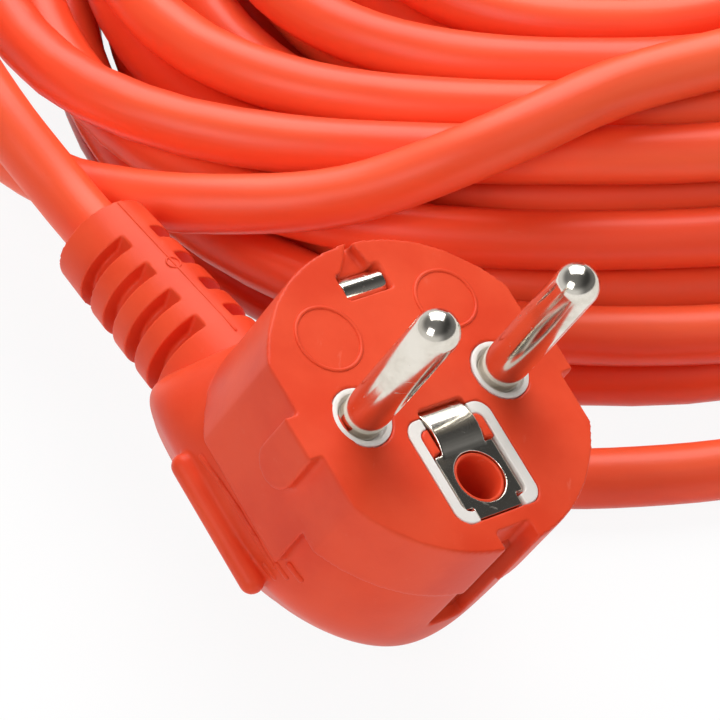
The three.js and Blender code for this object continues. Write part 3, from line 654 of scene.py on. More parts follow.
def superellipse(half: float, low: float, high: float, low_square: float, high_square: float,
                 depth: float, count: int = 144) -> np.ndarray:
    """A rounded outline at a depth, whose upper and lower halves have powers of their own.

    Its points satisfy |x / half width|^power + |(y - middle) / half height|^power = 1.

    Args:
        half: Half width.
        low: Lowest y.
        high: Highest y.
        low_square: The lower half's power: 2 is an ellipse, more is squarer.
        high_square: The upper half's power.
        depth: The outline's z.
        count: Number of points.

    Returns:
        Points, shape (count, 3).
    """
    angle = 2 * np.pi * (np.arange(count) + 0.5) / count
    across, along = np.cos(angle), np.sin(angle)
    square = np.where(along > 0, high_square, low_square)
    x = half * np.sign(across) * np.abs(across) ** (2 / square)
    y = (low + high) / 2 + (high - low) / 2 * np.sign(along) * np.abs(along) ** (2 / square)
    return np.column_stack([x, y, np.full(count, depth)])


@dataclass
class Plug:
    """The angled plug in its own frame: +Z out of the face, +X from pin to pin, +Y to the cable."""

    face_radius: float = 0.0185
    flat_half_width: float = 0.0164
    front_depth: float = 0.0094
    pad_depth: float = 0.0158
    pad_low: float = -0.0063
    body_step: float = 0.0009
    guide_half_width: float = 0.0026
    guide_reach: float = 0.0181
    guide_root: float = 0.012
    guide_length: float = 0.008
    bar_foot_height: float = 0.005
    bar_foot_share: float = 0.8
    bar_length: float = 0.017
    bar_width: float = 0.0027
    bar_reach: float = 0.0174
    bar_middle: Pair = (0.0015, -0.0212)
    pin_spacing: float = 0.019
    pin_diameter: float = 0.0048
    pin_length: float = 0.019
    pin_shank: float = 0.013
    pin_shank_step: float = 0.0006
    pin_shoulder: Pair = (-0.0115, -0.0113)
    pin_space_low: float = -0.014
    ring_wall: float = 0.001
    ring_play: float = 0.00002
    ring_low: float = -0.006
    ring_step: float = 0.0006
    insert_front: float = 0.005
    insert_back: float = 0.011
    insert_half: Pair = (0.0136, 0.0054)
    insert_corner: float = 0.003
    frame_half_width: float = 0.0056
    frame_wall: float = 0.0013
    frame_top: float = -0.0022
    frame_low: float = -0.0146
    frame_root: float = 0.0025
    frame_corners: Pair = (0.0018, 0.001)
    frame_hollow: float = 0.009
    frame_play: float = 0.0002
    foot_size: Pair = (0.0118, 0.003)
    foot_middle: Pair = (-0.0083, -0.0065)
    lower_channel: Box = ((0.0046, 0.004, 0.0177), (0.0, -0.0182, -0.00825))
    upper_channel: Box = ((0.0046, 0.003, 0.0137), (0.0, 0.0184, -0.00985))
    clip_window: Box = ((0.0058, 0.0032, 0.0056), (0.0, 0.01385, -0.0018))
    clip_slot: Box = ((0.0044, 0.0013, 0.0150), (0.0, 0.0164, -0.0103))
    notch: Profile = ((-0.0022, 0.0153), (0.0018, 0.0153), (0.0011, 0.0188), (0.0008, 0.0188))
    notch_depth: float = 0.0013
    plate_rim: float = 0.0002
    plate_corner: float = 0.0004
    plate_depth: float = 0.0006
    plate_sheet: float = 0.0006
    plate_neck: float = 0.0029
    plate_flange: float = 0.00395
    plate_top: float = -0.0016
    plate_shoulder: float = -0.0066
    plate_waist: float = -0.0129
    plate_low: float = -0.0143
    strip: float = 0.0008
    earth_y: float = -0.010
    earth_radius: float = 0.0025
    earth_collar: float = 0.0004
    earth_depth: float = 0.020
    collar_levels: Triple = (-0.006, -0.0007, -0.0005)
    strap_half_width: float = 0.0014
    strap_top: float = -0.0014
    strap_bend: float = 0.0012
    strap_low: float = -0.0126
    strap_end: float = 0.0006
    arch_middle: Pair = (-0.0043, -0.00442)
    arch_radius: float = 0.0045
    arch_angles: Pair = (118, 55)
    lower_clip_yz: Profile = ((-0.0150, -0.0042), (-0.0164, -0.0042), (-0.0164, -0.0172))
    upper_clip_yz: Profile = ((0.0154, -0.0022), (0.0162, -0.0040), (0.0164, -0.0172))
    clip_bends: Pair = (0.0007, 0.0009)
    clip_half_widths: Pair = (0.0028, 0.002)
    nose_low: float = -0.0024
    clip_sheet: float = 0.0005
    clip_roll: float = 0.0013
    trim_line: float = 0.0004
    trims_yz: tuple[Profile, ...] = (
        ((0.0080, -0.0186), (0.0046, -0.0179), (0.0012, -0.0175), (-0.0024, -0.0175), (-0.0058, -0.0181)),
        ((-0.0050, -0.0192), (-0.0066, -0.0194)),
        ((-0.0060, -0.0175), (-0.0075, -0.0178)),
        ((-0.0070, -0.0160), (-0.0087, -0.0164)),
    )
    round_mark: tuple[Pair, Pair] = ((-0.008, 0.0091), (0.0037, 0.0037))
    oval_mark: tuple[Pair, Pair] = ((0.0082, 0.0093), (0.0036, 0.0034))
    mark_line: Pair = (0.00022, 0.00016)
    relief_start: Triple = (0.0, 0.022, -0.0294)
    relief_tilt: float = 14.6
    relief_overlap: float = 0.005
    relief_mark: Pair = (0.0008, 0.00012)
    relief_mark_at: Pair = (0.0094, 0.00042)
    parting_line: float = 0.00018
    overlap: float = 0.001
    fit: float = 0.00003
    voxel: float = 0.00024

    def rear_rings(self) -> np.ndarray:
        """Depth, half width, lowest and highest y and the two squarenesses, from back to front."""
        half = self.flat_half_width - self.body_step
        low = -self.face_radius + self.body_step / 2
        return np.array([
            (-0.040, 0.003, -0.00195, 0.013, 2.0, 2.4),
            (-0.0374, 0.005, -0.005, 0.017, 1.9, 2.8),
            (-0.035, 0.0069, -0.0075, 0.0185, 1.9, 4.9),
            (-0.0325, 0.0086, -0.01, 0.0202, 1.9, 7.0),
            (-0.0308, 0.00975, -0.0118, 0.0204, 1.9, 7.0),
            (-0.0254, 0.0134, -0.0163, 0.0204, 1.85, 7.0),
            (-0.0215, half, low + 0.0002, 0.0194, 2.0, 5.0),
            (-0.015, half, low, -low, 2.3, 2.4),
            (-self.front_depth + self.overlap, half, low, -low, 2.3, 2.3),
        ])

    def rear(self) -> Piece:
        """The rear body: rounded outlines joined smoothly from the back to the front tier.

        The squarenesses count a thousandth in the curve's spacing, so that the depths set it.
        """
        square_share, steps = 0.001, 8
        share = np.array([1.0, 1.0, 1.0, 1.0, square_share, square_share])
        table = curve_through(self.rear_rings() * share, steps) / share
        return loft("rear", np.stack([
            superellipse(half, low, high, low_square, high_square, depth)
            for depth, half, low, high, low_square, high_square in table
        ]))

    def guides(self) -> list[Piece]:
        """The ribs beside the pins: from the face back to a round end, one on each flat."""
        pieces = []
        middle_z = -self.guide_length + self.guide_half_width
        for side in (-1, 1):
            angle = np.linspace(0, np.pi, 25)
            round_end = np.column_stack([
                middle_z - self.guide_half_width * np.sin(angle), self.guide_half_width * np.cos(angle),
            ])
            outline = np.vstack([[(0.0, -self.guide_half_width), (0.0, self.guide_half_width)], round_end])
            rib = prism("guide", outline, self.guide_root, self.guide_reach)
            place(rib, Matrix.Rotation(-math.pi / 2, 4, "Y"))
            if side > 0:
                place(rib, Matrix.Scale(-1, 4, (1, 0, 0)))
                rib.data.flip_normals()
            pieces.append(rib)
        return pieces

    def bars(self) -> list[Piece]:
        """The long grip bars behind the flats: half round on top, with ball ends, on a narrow foot."""
        radius = self.bar_width / 2
        reach = self.bar_length / 2 - radius
        angle = np.linspace(-np.pi / 2, np.pi / 2, 13)
        upper = [(radius * math.cos(a), reach + radius * math.sin(a)) for a in angle if a >= 0]
        lower = [(radius * math.cos(a), -reach + radius * math.sin(a)) for a in angle if a <= 0]
        pieces = []
        for side in (-1, 1):
            middle = Vector((side * (self.bar_reach - radius), *self.bar_middle))
            bar = turned("bar", [*lower, *upper], 32)
            place(bar, Matrix.Translation(middle) @ Matrix.Rotation(-math.pi / 2, 4, "X"))
            height = self.bar_foot_height
            foot = block("foot", (height, 2 * reach + radius, self.bar_width * self.bar_foot_share),
                         (middle.x - side * height / 2, middle.y, middle.z))
            pieces += [bar, foot]
        return pieces

    def insert_parts(self, grow: float) -> list[Piece]:
        """The insert: its plate, a ring round each pin and the frame's two arms.

        Args:
            grow: How much larger each part is, for a pocket.

        Returns:
            Closed parts that overlap each other.
        """
        lip = self.overlap if grow else 0.0
        half_x, half_y = (half + grow for half in self.insert_half)
        plate = prism("plate", rounded_rectangle(-half_x, half_x, -half_y, half_y, self.insert_corner),
                      -self.insert_back - grow, -self.insert_front + grow)
        radius = self.pin_diameter / 2 + self.ring_wall + grow
        rings = [rod("ring", radius, -self.insert_front - self.overlap, lip, side * self.pin_spacing / 2)
                 for side in (-1, 1)]
        outer_half = self.frame_half_width + grow
        outer_corner, inner_corner = self.frame_corners
        outer = prism("frame", rounded_rectangle(
            -outer_half, outer_half, self.frame_low - grow, self.frame_top + grow, outer_corner),
            -self.insert_front - self.frame_root, lip)
        inner_half = self.frame_half_width - self.frame_wall - grow
        inner = prism("inner", rounded_rectangle(
            -inner_half, inner_half, self.frame_low + self.frame_wall + grow,
            self.frame_top - self.frame_wall - grow, inner_corner), -self.frame_hollow, 2 * self.overlap)
        gap = (2 * (self.plate_neck + self.frame_play - grow), 0.008, 0.014)
        gates = [block("gate", gap, (0.0, y, 0.0)) for y in (self.frame_top, self.frame_low)]
        feet = [block("foot", (self.frame_wall + 2 * grow, *self.foot_size),
                      (side * (self.frame_half_width - self.frame_wall / 2), *self.foot_middle))
                for side in (-1, 1)]
        return [plate, *rings, cut(outer, [inner, *gates]), *feet]

    def face_cutters(self) -> list[Piece]:
        """The openings in the face and the rim: bore, channels, notch and the earth plate's windows."""
        rim = self.plate_rim
        windows = (
            (self.plate_neck, self.plate_shoulder - self.overlap, self.plate_top + rim),
            (self.plate_flange, self.plate_waist - rim, self.plate_shoulder + rim),
            (self.plate_neck, self.plate_low - rim, self.plate_waist + self.overlap),
        )
        return [
            rod("bore", self.earth_radius, -self.earth_depth, self.overlap, 0.0, self.earth_y),
            block("lower_channel", *self.lower_channel),
            block("upper_channel", *self.upper_channel),
            block("clip_window", *self.clip_window),
            prism("notch", np.array(self.notch), -self.notch_depth, self.overlap),
            *(prism("plate_window", rounded_rectangle(-half - rim, half + rim, low, high, self.plate_corner),
                    -self.plate_depth - self.strip, self.overlap) for half, low, high in windows),
            block("clip_slot", *self.clip_slot),
        ]

    def collar(self) -> Piece:
        """The thin collar round the earth pin's bore, just under the face, with a narrow bevel."""
        inside, outside = self.earth_radius, self.earth_radius + self.earth_collar
        low, shoulder, top = self.collar_levels
        edge = 0.0001
        collar = turned("collar", [
            (inside, low), (outside, low), (outside, shoulder), (outside - edge, top),
            (inside + edge, top), (inside, shoulder), (inside, low),
        ])
        return place(collar, Matrix.Translation((0.0, self.earth_y, 0.0)))

    def body(self) -> Piece:
        """The moulded housing: front tier, the pad behind it, rear body, guides, bars and trims."""
        outline = flatted_circle(self.face_radius, self.flat_half_width)
        front = prism("front", outline, -self.front_depth, 0.0)
        pad_outline = np.column_stack([outline[:, 0], np.maximum(outline[:, 1], self.pad_low)])
        pad = prism("pad", pad_outline, -self.pad_depth, -self.front_depth + self.overlap)
        parts = [front, pad, self.rear()]
        cutters = [*self.insert_parts(self.fit), *self.face_cutters()]
        for part in parts:
            cut(part, cutters, keep=True)
        discard(cutters)
        housing = fuse("plug_housing", [*parts, *self.guides(), *self.bars()], self.voxel, 2)
        piece = join("plug_housing_trimmed", [housing, self.collar(), *self.trims()])
        piece.data.shade_smooth()
        return piece

    def relief_matrix(self) -> Matrix:
        """Relief frame to plug frame: the relief leaves the housing at a tilt, away from the face."""
        tilt = Matrix.Rotation(-math.radians(self.relief_tilt), 4, "X")
        return Matrix.Translation(self.relief_start) @ tilt

    def relief(self) -> Piece:
        """The slotted relief with the mould's parting line and a bare ring along its top."""
        relief = Relief()
        start, end = (0.0, -0.002, relief.root), (0.0, relief.length - 0.0004, relief.end)
        parting = self.line("parting", start, end, self.parting_line)
        radius, section = self.relief_mark
        along, sunk = self.relief_mark_at
        angle = np.linspace(0, 2 * np.pi, 13)
        mark = turned("mark", [(radius + section * math.cos(a), section * math.sin(a)) for a in angle], 36)
        place(mark, Matrix.Translation((0.0, along, relief.root - sunk)))
        parts = [relief.build(self.relief_overlap), parting, mark]
        piece = place(join("plug_relief", parts), self.relief_matrix())
        piece.data.shade_smooth()
        return piece

    def trims(self) -> list[Piece]:
        """Thin raised lines on each side of the rear body: a long one and three short ribs."""
        lines = []
        for side in (-1, 1):
            for route in self.trims_yz:
                on_side = [(side * self.side_at(y, z), y, z) for y, z in route]
                lines += [self.line("side_line", a, b, self.trim_line) for a, b in zip(on_side, on_side[1:])]
        return lines

    def side_at(self, y: float, depth: float) -> float:
        """The rear body's half width at a height and a depth, between its outlines."""
        table = self.rear_rings()
        half, low, high, low_square, high_square = (
            np.interp(depth, table[:, 0], table[:, column]) for column in range(1, 6))
        square = high_square if y > (low + high) / 2 else low_square
        return float(half * (1 - abs((2 * y - low - high) / (high - low)) ** square) ** (1 / square))

    def line(self, name: str, start: Triple, end: Triple, radius: float) -> Piece:
        """A thin round-ended line between two points: a round section that closes at both ends."""
        way = Vector(end) - Vector(start)
        profile = []
        for a in np.linspace(-np.pi / 2, np.pi / 2, 9):
            shift = way.length if a > 0 else 0.0
            profile.append((radius * math.cos(a), shift + radius * math.sin(a)))
        piece = turned(name, profile, 12)
        turn = Vector((0, 0, 1)).rotation_difference(way).to_matrix().to_4x4()
        return place(piece, Matrix.Translation(start) @ turn)

    def insert(self) -> Piece:
        """The white insert: stepped rings that close round the pins, and the earth frame."""
        plate, left, right, frame_arms, *feet = self.insert_parts(0.0)
        pin_radius = self.pin_diameter / 2
        low = self.pin_space_low
        cut(plate, [rod("pin_space", pin_radius, low, self.overlap, side * self.pin_spacing / 2)
                    for side in (-1, 1)])
        discard([left, right])
        inside, outside = pin_radius + self.ring_play, pin_radius + self.ring_wall
        rings = []
        for side in (-1, 1):
            ring = turned("ring", [
                (inside, self.ring_low), (outside, self.ring_low), (outside, -0.0001),
                (outside - 0.0001, 0.00005), (inside + 0.00040, 0.00005), (inside + 0.00034, -0.00005),
                (inside + 0.0003, -self.ring_step), (inside, -self.ring_step), (inside, self.ring_low),
            ], 96)
            rings.append(place(ring, Matrix.Translation((side * self.pin_spacing / 2, 0.0, 0.0))))
        solids = [bevelled(part, 0.00018) for part in (plate, frame_arms, *feet)]
        return bevelled(join("pin_insert", [*solids, *rings]), 0.00004, 1)

    def pin(self, side: int) -> Piece:
        """A pin: a thinner shank, a round bar and a half ball for a tip."""
        radius = self.pin_diameter / 2
        ball = self.pin_length - radius
        angle = np.linspace(0, np.pi / 2, 17)
        tip = [(radius * math.cos(a), ball + radius * math.sin(a)) for a in angle]
        shank = radius - self.pin_shank_step
        shank_end, bar_start = self.pin_shoulder
        straight = [(radius, height) for height in np.linspace(bar_start, ball, 40)[:-1]]
        pin = turned("live_pin_bar" if side < 0 else "neutral_pin_bar", [
            (0.0, -self.pin_shank), (shank, -self.pin_shank), (shank, shank_end), *straight, *tip,
        ], 96)
        return place(pin, Matrix.Translation((side * self.pin_spacing / 2, 0.0, 0.0)))

    def earth_plate(self) -> Piece:
        """The earth plate: flange with its hole, arched neck, and the strap bent down behind it."""
        neck, wide, sheet, middle = self.plate_neck, self.plate_flange, self.plate_sheet, -self.plate_depth
        right = [(neck, self.plate_low), (neck, self.plate_waist), (wide, self.plate_waist),
                 (wide, self.plate_shoulder)]
        left = [(-x, y) for x, y in right[::-1]]
        flange = prism("flange", np.array(right + left), middle - sheet / 2, middle + sheet / 2)
        hole = self.earth_radius + self.earth_collar + 2 * self.fit
        cut(flange, [rod("hole", hole, -0.006, 2 * self.overlap, 0.0, self.earth_y)])
        strap_y = self.plate_top - sheet / 2
        angle = np.radians(np.linspace(*self.arch_angles, 15))
        arch_y, arch_z = self.arch_middle
        arch = np.column_stack([
            arch_y + self.arch_radius * np.cos(angle), arch_z + self.arch_radius * np.sin(angle),
        ])
        low, bend = self.strap_low, self.strap_bend
        strap = bent_path([(strap_y, -bend), (strap_y, low), (self.strap_end, low)], bend)
        path = np.vstack([[(self.plate_shoulder - 0.0004, middle)], arch, strap])
        width = np.where(path[:, 1] > self.strap_top, self.plate_neck, self.strap_half_width)
        return fuse("earth_contact", [flange, ribbon("strap", path, width, sheet)], 0.00011, 2)

    def clip(self, side: int) -> Piece:
        """A side earth contact: the lower one is a folded strip, the upper one's top is rolled."""
        nose_half, strip_half = self.clip_half_widths
        if side < 0:
            path = bent_path(self.lower_clip_yz, self.clip_bends[0])
            strip = ribbon("lower_clip_strip", path, np.full(len(path), strip_half), self.strip)
            return bevelled(strip, 0.00012)
        angle = np.radians(np.linspace(200, 20, 25))
        middle = np.array(self.clip_window[1][1:])
        roll = middle + self.clip_roll * np.column_stack([np.cos(angle), np.sin(angle)])
        path = np.vstack([roll, bent_path(self.upper_clip_yz, self.clip_bends[1])])
        width = np.where(path[:, 1] > self.nose_low, nose_half, strip_half)
        return bevelled(ribbon("upper_clip_strip", path, width, self.clip_sheet), 0.0001)

    def blank_mark(self, name: str, middle: Pair, half: Pair) -> Piece:
        """A plain raised outline on the face: a small round section carried round an oval.

        Args:
            name: The piece's name.
            middle: The oval's middle (x, y).
            half: Its half width and half height.

        Returns:
            The new object.
        """
        turn = np.linspace(0, 2 * np.pi, 97)[:-1]
        angle = np.linspace(0, 2 * np.pi, 9)[:-1]
        out = np.stack([np.cos(turn), np.sin(turn)], axis=-1)
        ring = np.array(middle) + np.array(half) * out
        width, rise = self.mark_line
        flat = ring[:, None] + out[:, None] * (width * np.cos(angle))[None, :, None]
        height = np.broadcast_to(rise * np.sin(angle), flat.shape[:2])
        rings = np.concatenate([flat, height[..., None]], axis=-1)
        faces = grid_faces(len(turn) + 1, len(angle))
        points = np.concatenate([rings, rings[:1]]).reshape(-1, 3)
        return mesh_piece(name, points, faces)

    def build(self, finishes: "Finishes") -> None:
        """Builds, places and dresses the plug's pieces.

        Args:
            finishes: The object's materials.
        """
        matrix = LAYOUT.plug_matrix()
        plan: list[tuple[Piece, bpy.types.Material, Slot, tuple[str, ...]]] = [
            (self.body(), finishes.shell, Slot.SHELL, ("plug_body",)),
            (self.relief(), finishes.shell, Slot.SHELL, ()),
            (self.insert(), finishes.insert, Slot.INSERT, ("pin_carrier",)),
            (self.pin(-1), finishes.nickel, Slot.NICKEL, ("live_pin",)),
            (self.pin(1), finishes.nickel, Slot.NICKEL, ("neutral_pin",)),
            (self.earth_plate(), finishes.nickel, Slot.NICKEL, ("earth_plate",)),
            (self.clip(1), finishes.nickel, Slot.NICKEL, ("earth_clip_upper",)),
            (self.clip(-1), finishes.nickel, Slot.NICKEL, ("earth_clip_lower",)),
            (self.blank_mark("round_mark", *self.round_mark), finishes.shell, Slot.SHELL, ()),
            (self.blank_mark("oval_mark", *self.oval_mark), finishes.shell, Slot.SHELL, ()),
        ]
        for piece, material, slot, nodes in plan:
            dress(place(piece, matrix), material, slot, *nodes)


@dataclass
class TrailingSocket:
    """The trailing socket in its own frame: +Z out of the mouth, +X from hole to hole."""

    radius: float = 0.022
    recess_radius: float = 0.0199
    recess_depth: float = 0.0175
    rim_length: float = 0.024
    body_length: float = 0.056
    neck_radius: float = 0.0082
    key_width: float = 0.005
    key_reach: float = 0.0187
    face_thickness: float = 0.003
    pin_spacing: float = 0.019
    pin_hole: float = 0.003
    carrier_radius: float = 0.017
    carrier_length: float = 0.0174
    seat_gap: float = 0.0012
    strip: float = 0.0008
    bow_width: float = 0.007
    bow_reach: float = 0.0177
    bow_play: float = 0.0006
    rib_count: int = 5
    rib_half: Pair = (0.008, 0.0009)
    rib_corner: float = 0.0008
    rib_reach: Pair = (0.014, 0.0212)
    rib_fade: float = 0.00025
    rib_start: float = 0.004
    rib_pitch: float = 0.0034
    rim_bevel: float = 0.0008
    sink_depth: float = 0.0008
    relief_gap: float = 0.012
    overlap: float = 0.001
    voxel: float = 0.0004

    @property
    def carrier_top(self) -> float:
        """The contact carrier's top, just under the white face."""
        return -self.recess_depth - self.face_thickness - LAYOUT.clearance

    @property
    def relief_root(self) -> float:
        """Where the relief's root lies."""
        return -self.body_length - self.relief_gap

    def outer(self) -> Piece:
        """The housing's outer shape, turned: a plain rim, a waist for the fingers and a neck."""
        waist = curve_through(np.array([
            (Relief.root, self.relief_root), (self.neck_radius, -self.body_length - 0.002),
            (0.0145, -self.body_length + 0.006), (0.0192, -self.body_length + 0.014),
            (0.0202, -self.rim_length - 0.006), (0.021, -self.rim_length - 0.0006),
        ]), 6)
        return turned("outer", [
            (0.0, self.relief_root), *map(tuple, waist), (self.radius, -self.rim_length),
            (self.radius, -self.rim_bevel), (self.radius - self.rim_bevel, 0.0), (0.0, 0.0),
        ], 144)

    def ribs(self) -> list[Piece]:
        """Grip ribs on each side of the waist, lower the further back they lie."""
        half_x, half_y = self.rib_half
        outline = rounded_rectangle(-half_x, half_x, -half_y, half_y, self.rib_corner)
        low, high = self.rib_reach
        pieces = []
        for side in (-1, 1):
            turn = Matrix.Rotation(math.pi / 2, 4, "X") @ Matrix.Rotation(side * math.pi / 2, 4, "Y")
            for i in range(self.rib_count):
                rib = place(prism("rib", outline, low, high - self.rib_fade * i), turn)
                height = -self.rim_length - self.rib_start - self.rib_pitch * i
                pieces.append(place(rib, Matrix.Translation((0, 0, height))))
        return pieces

    def body(self) -> Piece:
        """The housing: recess with its two keys, seat for the carrier, slots for the earth bow."""
        body = self.outer()
        recess = rod("recess", self.recess_radius, self.carrier_top, self.overlap, sides=144)
        key_depth = 2 * self.overlap
        keys = [block("key", (2 * key_depth, self.key_width, self.recess_depth - key_depth),
                      (side * (self.key_reach + key_depth), 0.0, -self.overlap - self.recess_depth / 2))
                for side in (-1, 1)]
        seat = rod("seat", self.carrier_radius + LAYOUT.clearance,
                   self.carrier_top - self.carrier_length - self.seat_gap, self.carrier_top + self.overlap)
        bow = [block("arm", (self.bow_width + self.bow_play, 0.0014, 0.037),
                     (0.0, side * self.bow_reach, -0.0209))
               for side in (-1, 1)]
        cut(body, [cut(recess, keys), seat, *bow])
        relief = place(Relief().build(0.004), Matrix.Rotation(-math.pi / 2, 4, "X"))
        place(relief, Matrix.Translation((0.0, 0.0, self.relief_root)))
        return fuse("coupler_housing", [body, relief, *self.ribs()], self.voxel)

    def face(self) -> Piece:
        """The white face at the recess's floor, with its two holes and notches for the bow."""
        disc = rod("socket_floor", self.recess_radius - LAYOUT.clearance,
                   -self.recess_depth - self.face_thickness, -self.recess_depth, sides=144)
        holes = [rod("hole", self.pin_hole, -0.03, 0.0, side * self.pin_spacing / 2) for side in (-1, 1)]
        sinks = []
        low, high = -self.recess_depth - self.sink_depth, -self.recess_depth + self.sink_depth / 2
        for side in (-1, 1):
            sink = turned("sink", [
                (0.0, low), (self.pin_hole - 0.0002, low), (self.pin_hole + self.overlap, high), (0.0, high),
            ])
            sinks.append(place(sink, Matrix.Translation((side * self.pin_spacing / 2, 0.0, 0.0))))
        notches = [block("notch", (self.bow_width + self.bow_play, 0.0030, 0.01),
                         (0.0, side * (self.bow_reach - 0.0002), -0.019)) for side in (-1, 1)]
        cut(disc, [*holes, *sinks, *notches]).data.shade_flat()
        return disc

    def bow(self) -> Piece:
        """The earth bow: one strip up both sides of the recess, with a nose bent inwards on each arm."""
        low = self.carrier_top - self.carrier_length - LAYOUT.clearance - self.strip / 2
        arm = [
            (self.bow_reach, low), (self.bow_reach, -0.0105), (self.bow_reach - 0.0012, -0.008),
            (self.bow_reach, -0.0055), (self.bow_reach, -0.003),
        ]
        path = bent_path([(-y, z) for y, z in arm[::-1]] + arm, 0.0009)
        half_widths = np.full(len(path), self.bow_width / 2)
        return bevelled(ribbon("earth_bow_strip", path, half_widths, self.strip), 0.00012)

    def build(self, finishes: "Finishes") -> list[Piece]:
        """Builds, places and dresses the socket's pieces.

        Args:
            finishes: The object's materials.

        Returns:
            The new pieces.
        """
        matrix = LAYOUT.socket_matrix()
        plan: list[tuple[Piece, bpy.types.Material, Slot, str]] = [
            (self.body(), finishes.shell, Slot.SHELL, "coupler_body"),
            (self.face(), finishes.insert, Slot.INSERT, "socket_face"),
            (self.bow(), finishes.nickel, Slot.NICKEL, "earth_bow"),
        ]
        return [dress(place(piece, matrix), material, slot, node) for piece, material, slot, node in plan]


# ---------------------------------------------------------------- finishes


class Value:
    """A shader socket that takes part in sums and products."""

    def __init__(self, shader: "Shader", socket: bpy.types.NodeSocket) -> None:
        """Wraps a socket of a shader."""
        self.shader = shader
        self.socket = socket

    def math(self, operation: str, first: Any, second: Any) -> "Value":
        """One Math node."""
        return self.shader.value("ShaderNodeMath", {"operation": operation}, {0: first, 1: second})

    def __add__(self, other: Any) -> "Value":
        """self + other."""
        return self.math("ADD", self, other)

    def __radd__(self, other: Any) -> "Value":
        """other + self."""
        return self.math("ADD", other, self)

    def __sub__(self, other: Any) -> "Value":
        """self - other."""
        return self.math("SUBTRACT", self, other)

    def __rsub__(self, other: Any) -> "Value":
        """other - self."""
        return self.math("SUBTRACT", other, self)

    def __mul__(self, other: Any) -> "Value":
        """self * other."""
        return self.math("MULTIPLY", self, other)


class Shader:
    """A material's or the world's node tree, with one method that makes every node."""

    def __init__(self, name: str, owner: bpy.types.World | None = None) -> None:
        """Starts an empty material, or empties the world's tree."""
        self.material = owner or bpy.data.materials.new(name)
        self.material.use_nodes = True
        self.tree = self.material.node_tree
        self.tree.nodes.clear()

    def node(self, kind: str, settings: dict[str, Any] | None = None,
             inputs: dict[Any, Any] | None = None) -> bpy.types.Node:
        """Makes a node: its settings first, then the values or links of its sockets.

        Args:
            kind: The node's type.
            settings: Its options.
            inputs: Socket name or number to a number, colour or Value.

        Returns:
            The node.
        """
        node = self.tree.nodes.new(kind)
        for name, setting in (settings or {}).items():
            setattr(node, name, setting)
        for name, given in (inputs or {}).items():
            if isinstance(given, Value):
                self.tree.links.new(given.socket, node.inputs[name])
            else:
                node.inputs[name].default_value = given
        return node

    def value(self, kind: str, settings: dict[str, Any] | None = None,
              inputs: dict[Any, Any] | None = None, output: Any = 0) -> Value:
        """Makes a node and returns one of its outputs."""
        return Value(self, self.node(kind, settings, inputs).outputs[output])

    def place(self, attribute: str | None = None) -> Value:
        """Object coordinates, or a piece's own stored coordinates."""
        if attribute:
            return self.value("ShaderNodeAttribute", {"attribute_name": attribute}, output="Vector")
        return self.value("ShaderNodeTexCoord", output="Object")

    def stretched(self, place: Value, scale: Triple) -> Value:
        """Coordinates scaled differently along each axis."""
        return self.value("ShaderNodeMapping", None, {"Vector": place, "Scale": scale}, "Vector")

    def noise(self, place: Value, scale: float, detail: float = 3.0, rough: float = 0.55) -> Value:
        """Cloudy noise from 0 to 1."""
        return self.value("ShaderNodeTexNoise", None, {
            "Vector": place, "Scale": scale, "Detail": detail, "Roughness": rough}, 0)

    def levels(self, source: Value, low: float, high: float) -> Value:
        """Stretches source so that low becomes 0 and high becomes 1, softly."""
        return self.value("ShaderNodeMapRange", {"interpolation_type": "SMOOTHSTEP"}, {
            "Value": source, "From Min": low, "From Max": high}, 0)

    def mix(self, share: Any, first: Any, second: Any) -> Value:
        """Mixes two colours."""
        return self.value("ShaderNodeMix", {"data_type": "RGBA"}, {0: share, 6: first, 7: second}, 2)

    def bump(self, height: Value, depth: float, under: Value | None = None) -> Value:
        """Turns a height from 0 to 1 into a normal, depth metres deep."""
        inputs: dict[Any, Any] = {"Height": height, "Distance": depth, "Strength": 1.0}
        if under is not None:
            inputs["Normal"] = under
        return self.value("ShaderNodeBump", None, inputs, "Normal")

    def surface(self, inputs: dict[str, Any]) -> bpy.types.Material:
        """Ends the tree in a Principled shader.

        Args:
            inputs: Its sockets' values or links.

        Returns:
            The finished material.
        """
        shader = self.node("ShaderNodeBsdfPrincipled", None, inputs)
        self.node("ShaderNodeOutputMaterial", None, {"Surface": Value(self, shader.outputs[0])})
        return self.material


def colour(code: str) -> tuple[float, float, float, float]:
    """A screen colour such as e8512f as linear light."""
    levels = (int(code[i:i + 2], 16) / 255 for i in (0, 2, 4))
    return (*(c / 12.92 if c <= 0.04045 else ((c + 0.055) / 1.055) ** 2.4 for c in levels), 1.0)


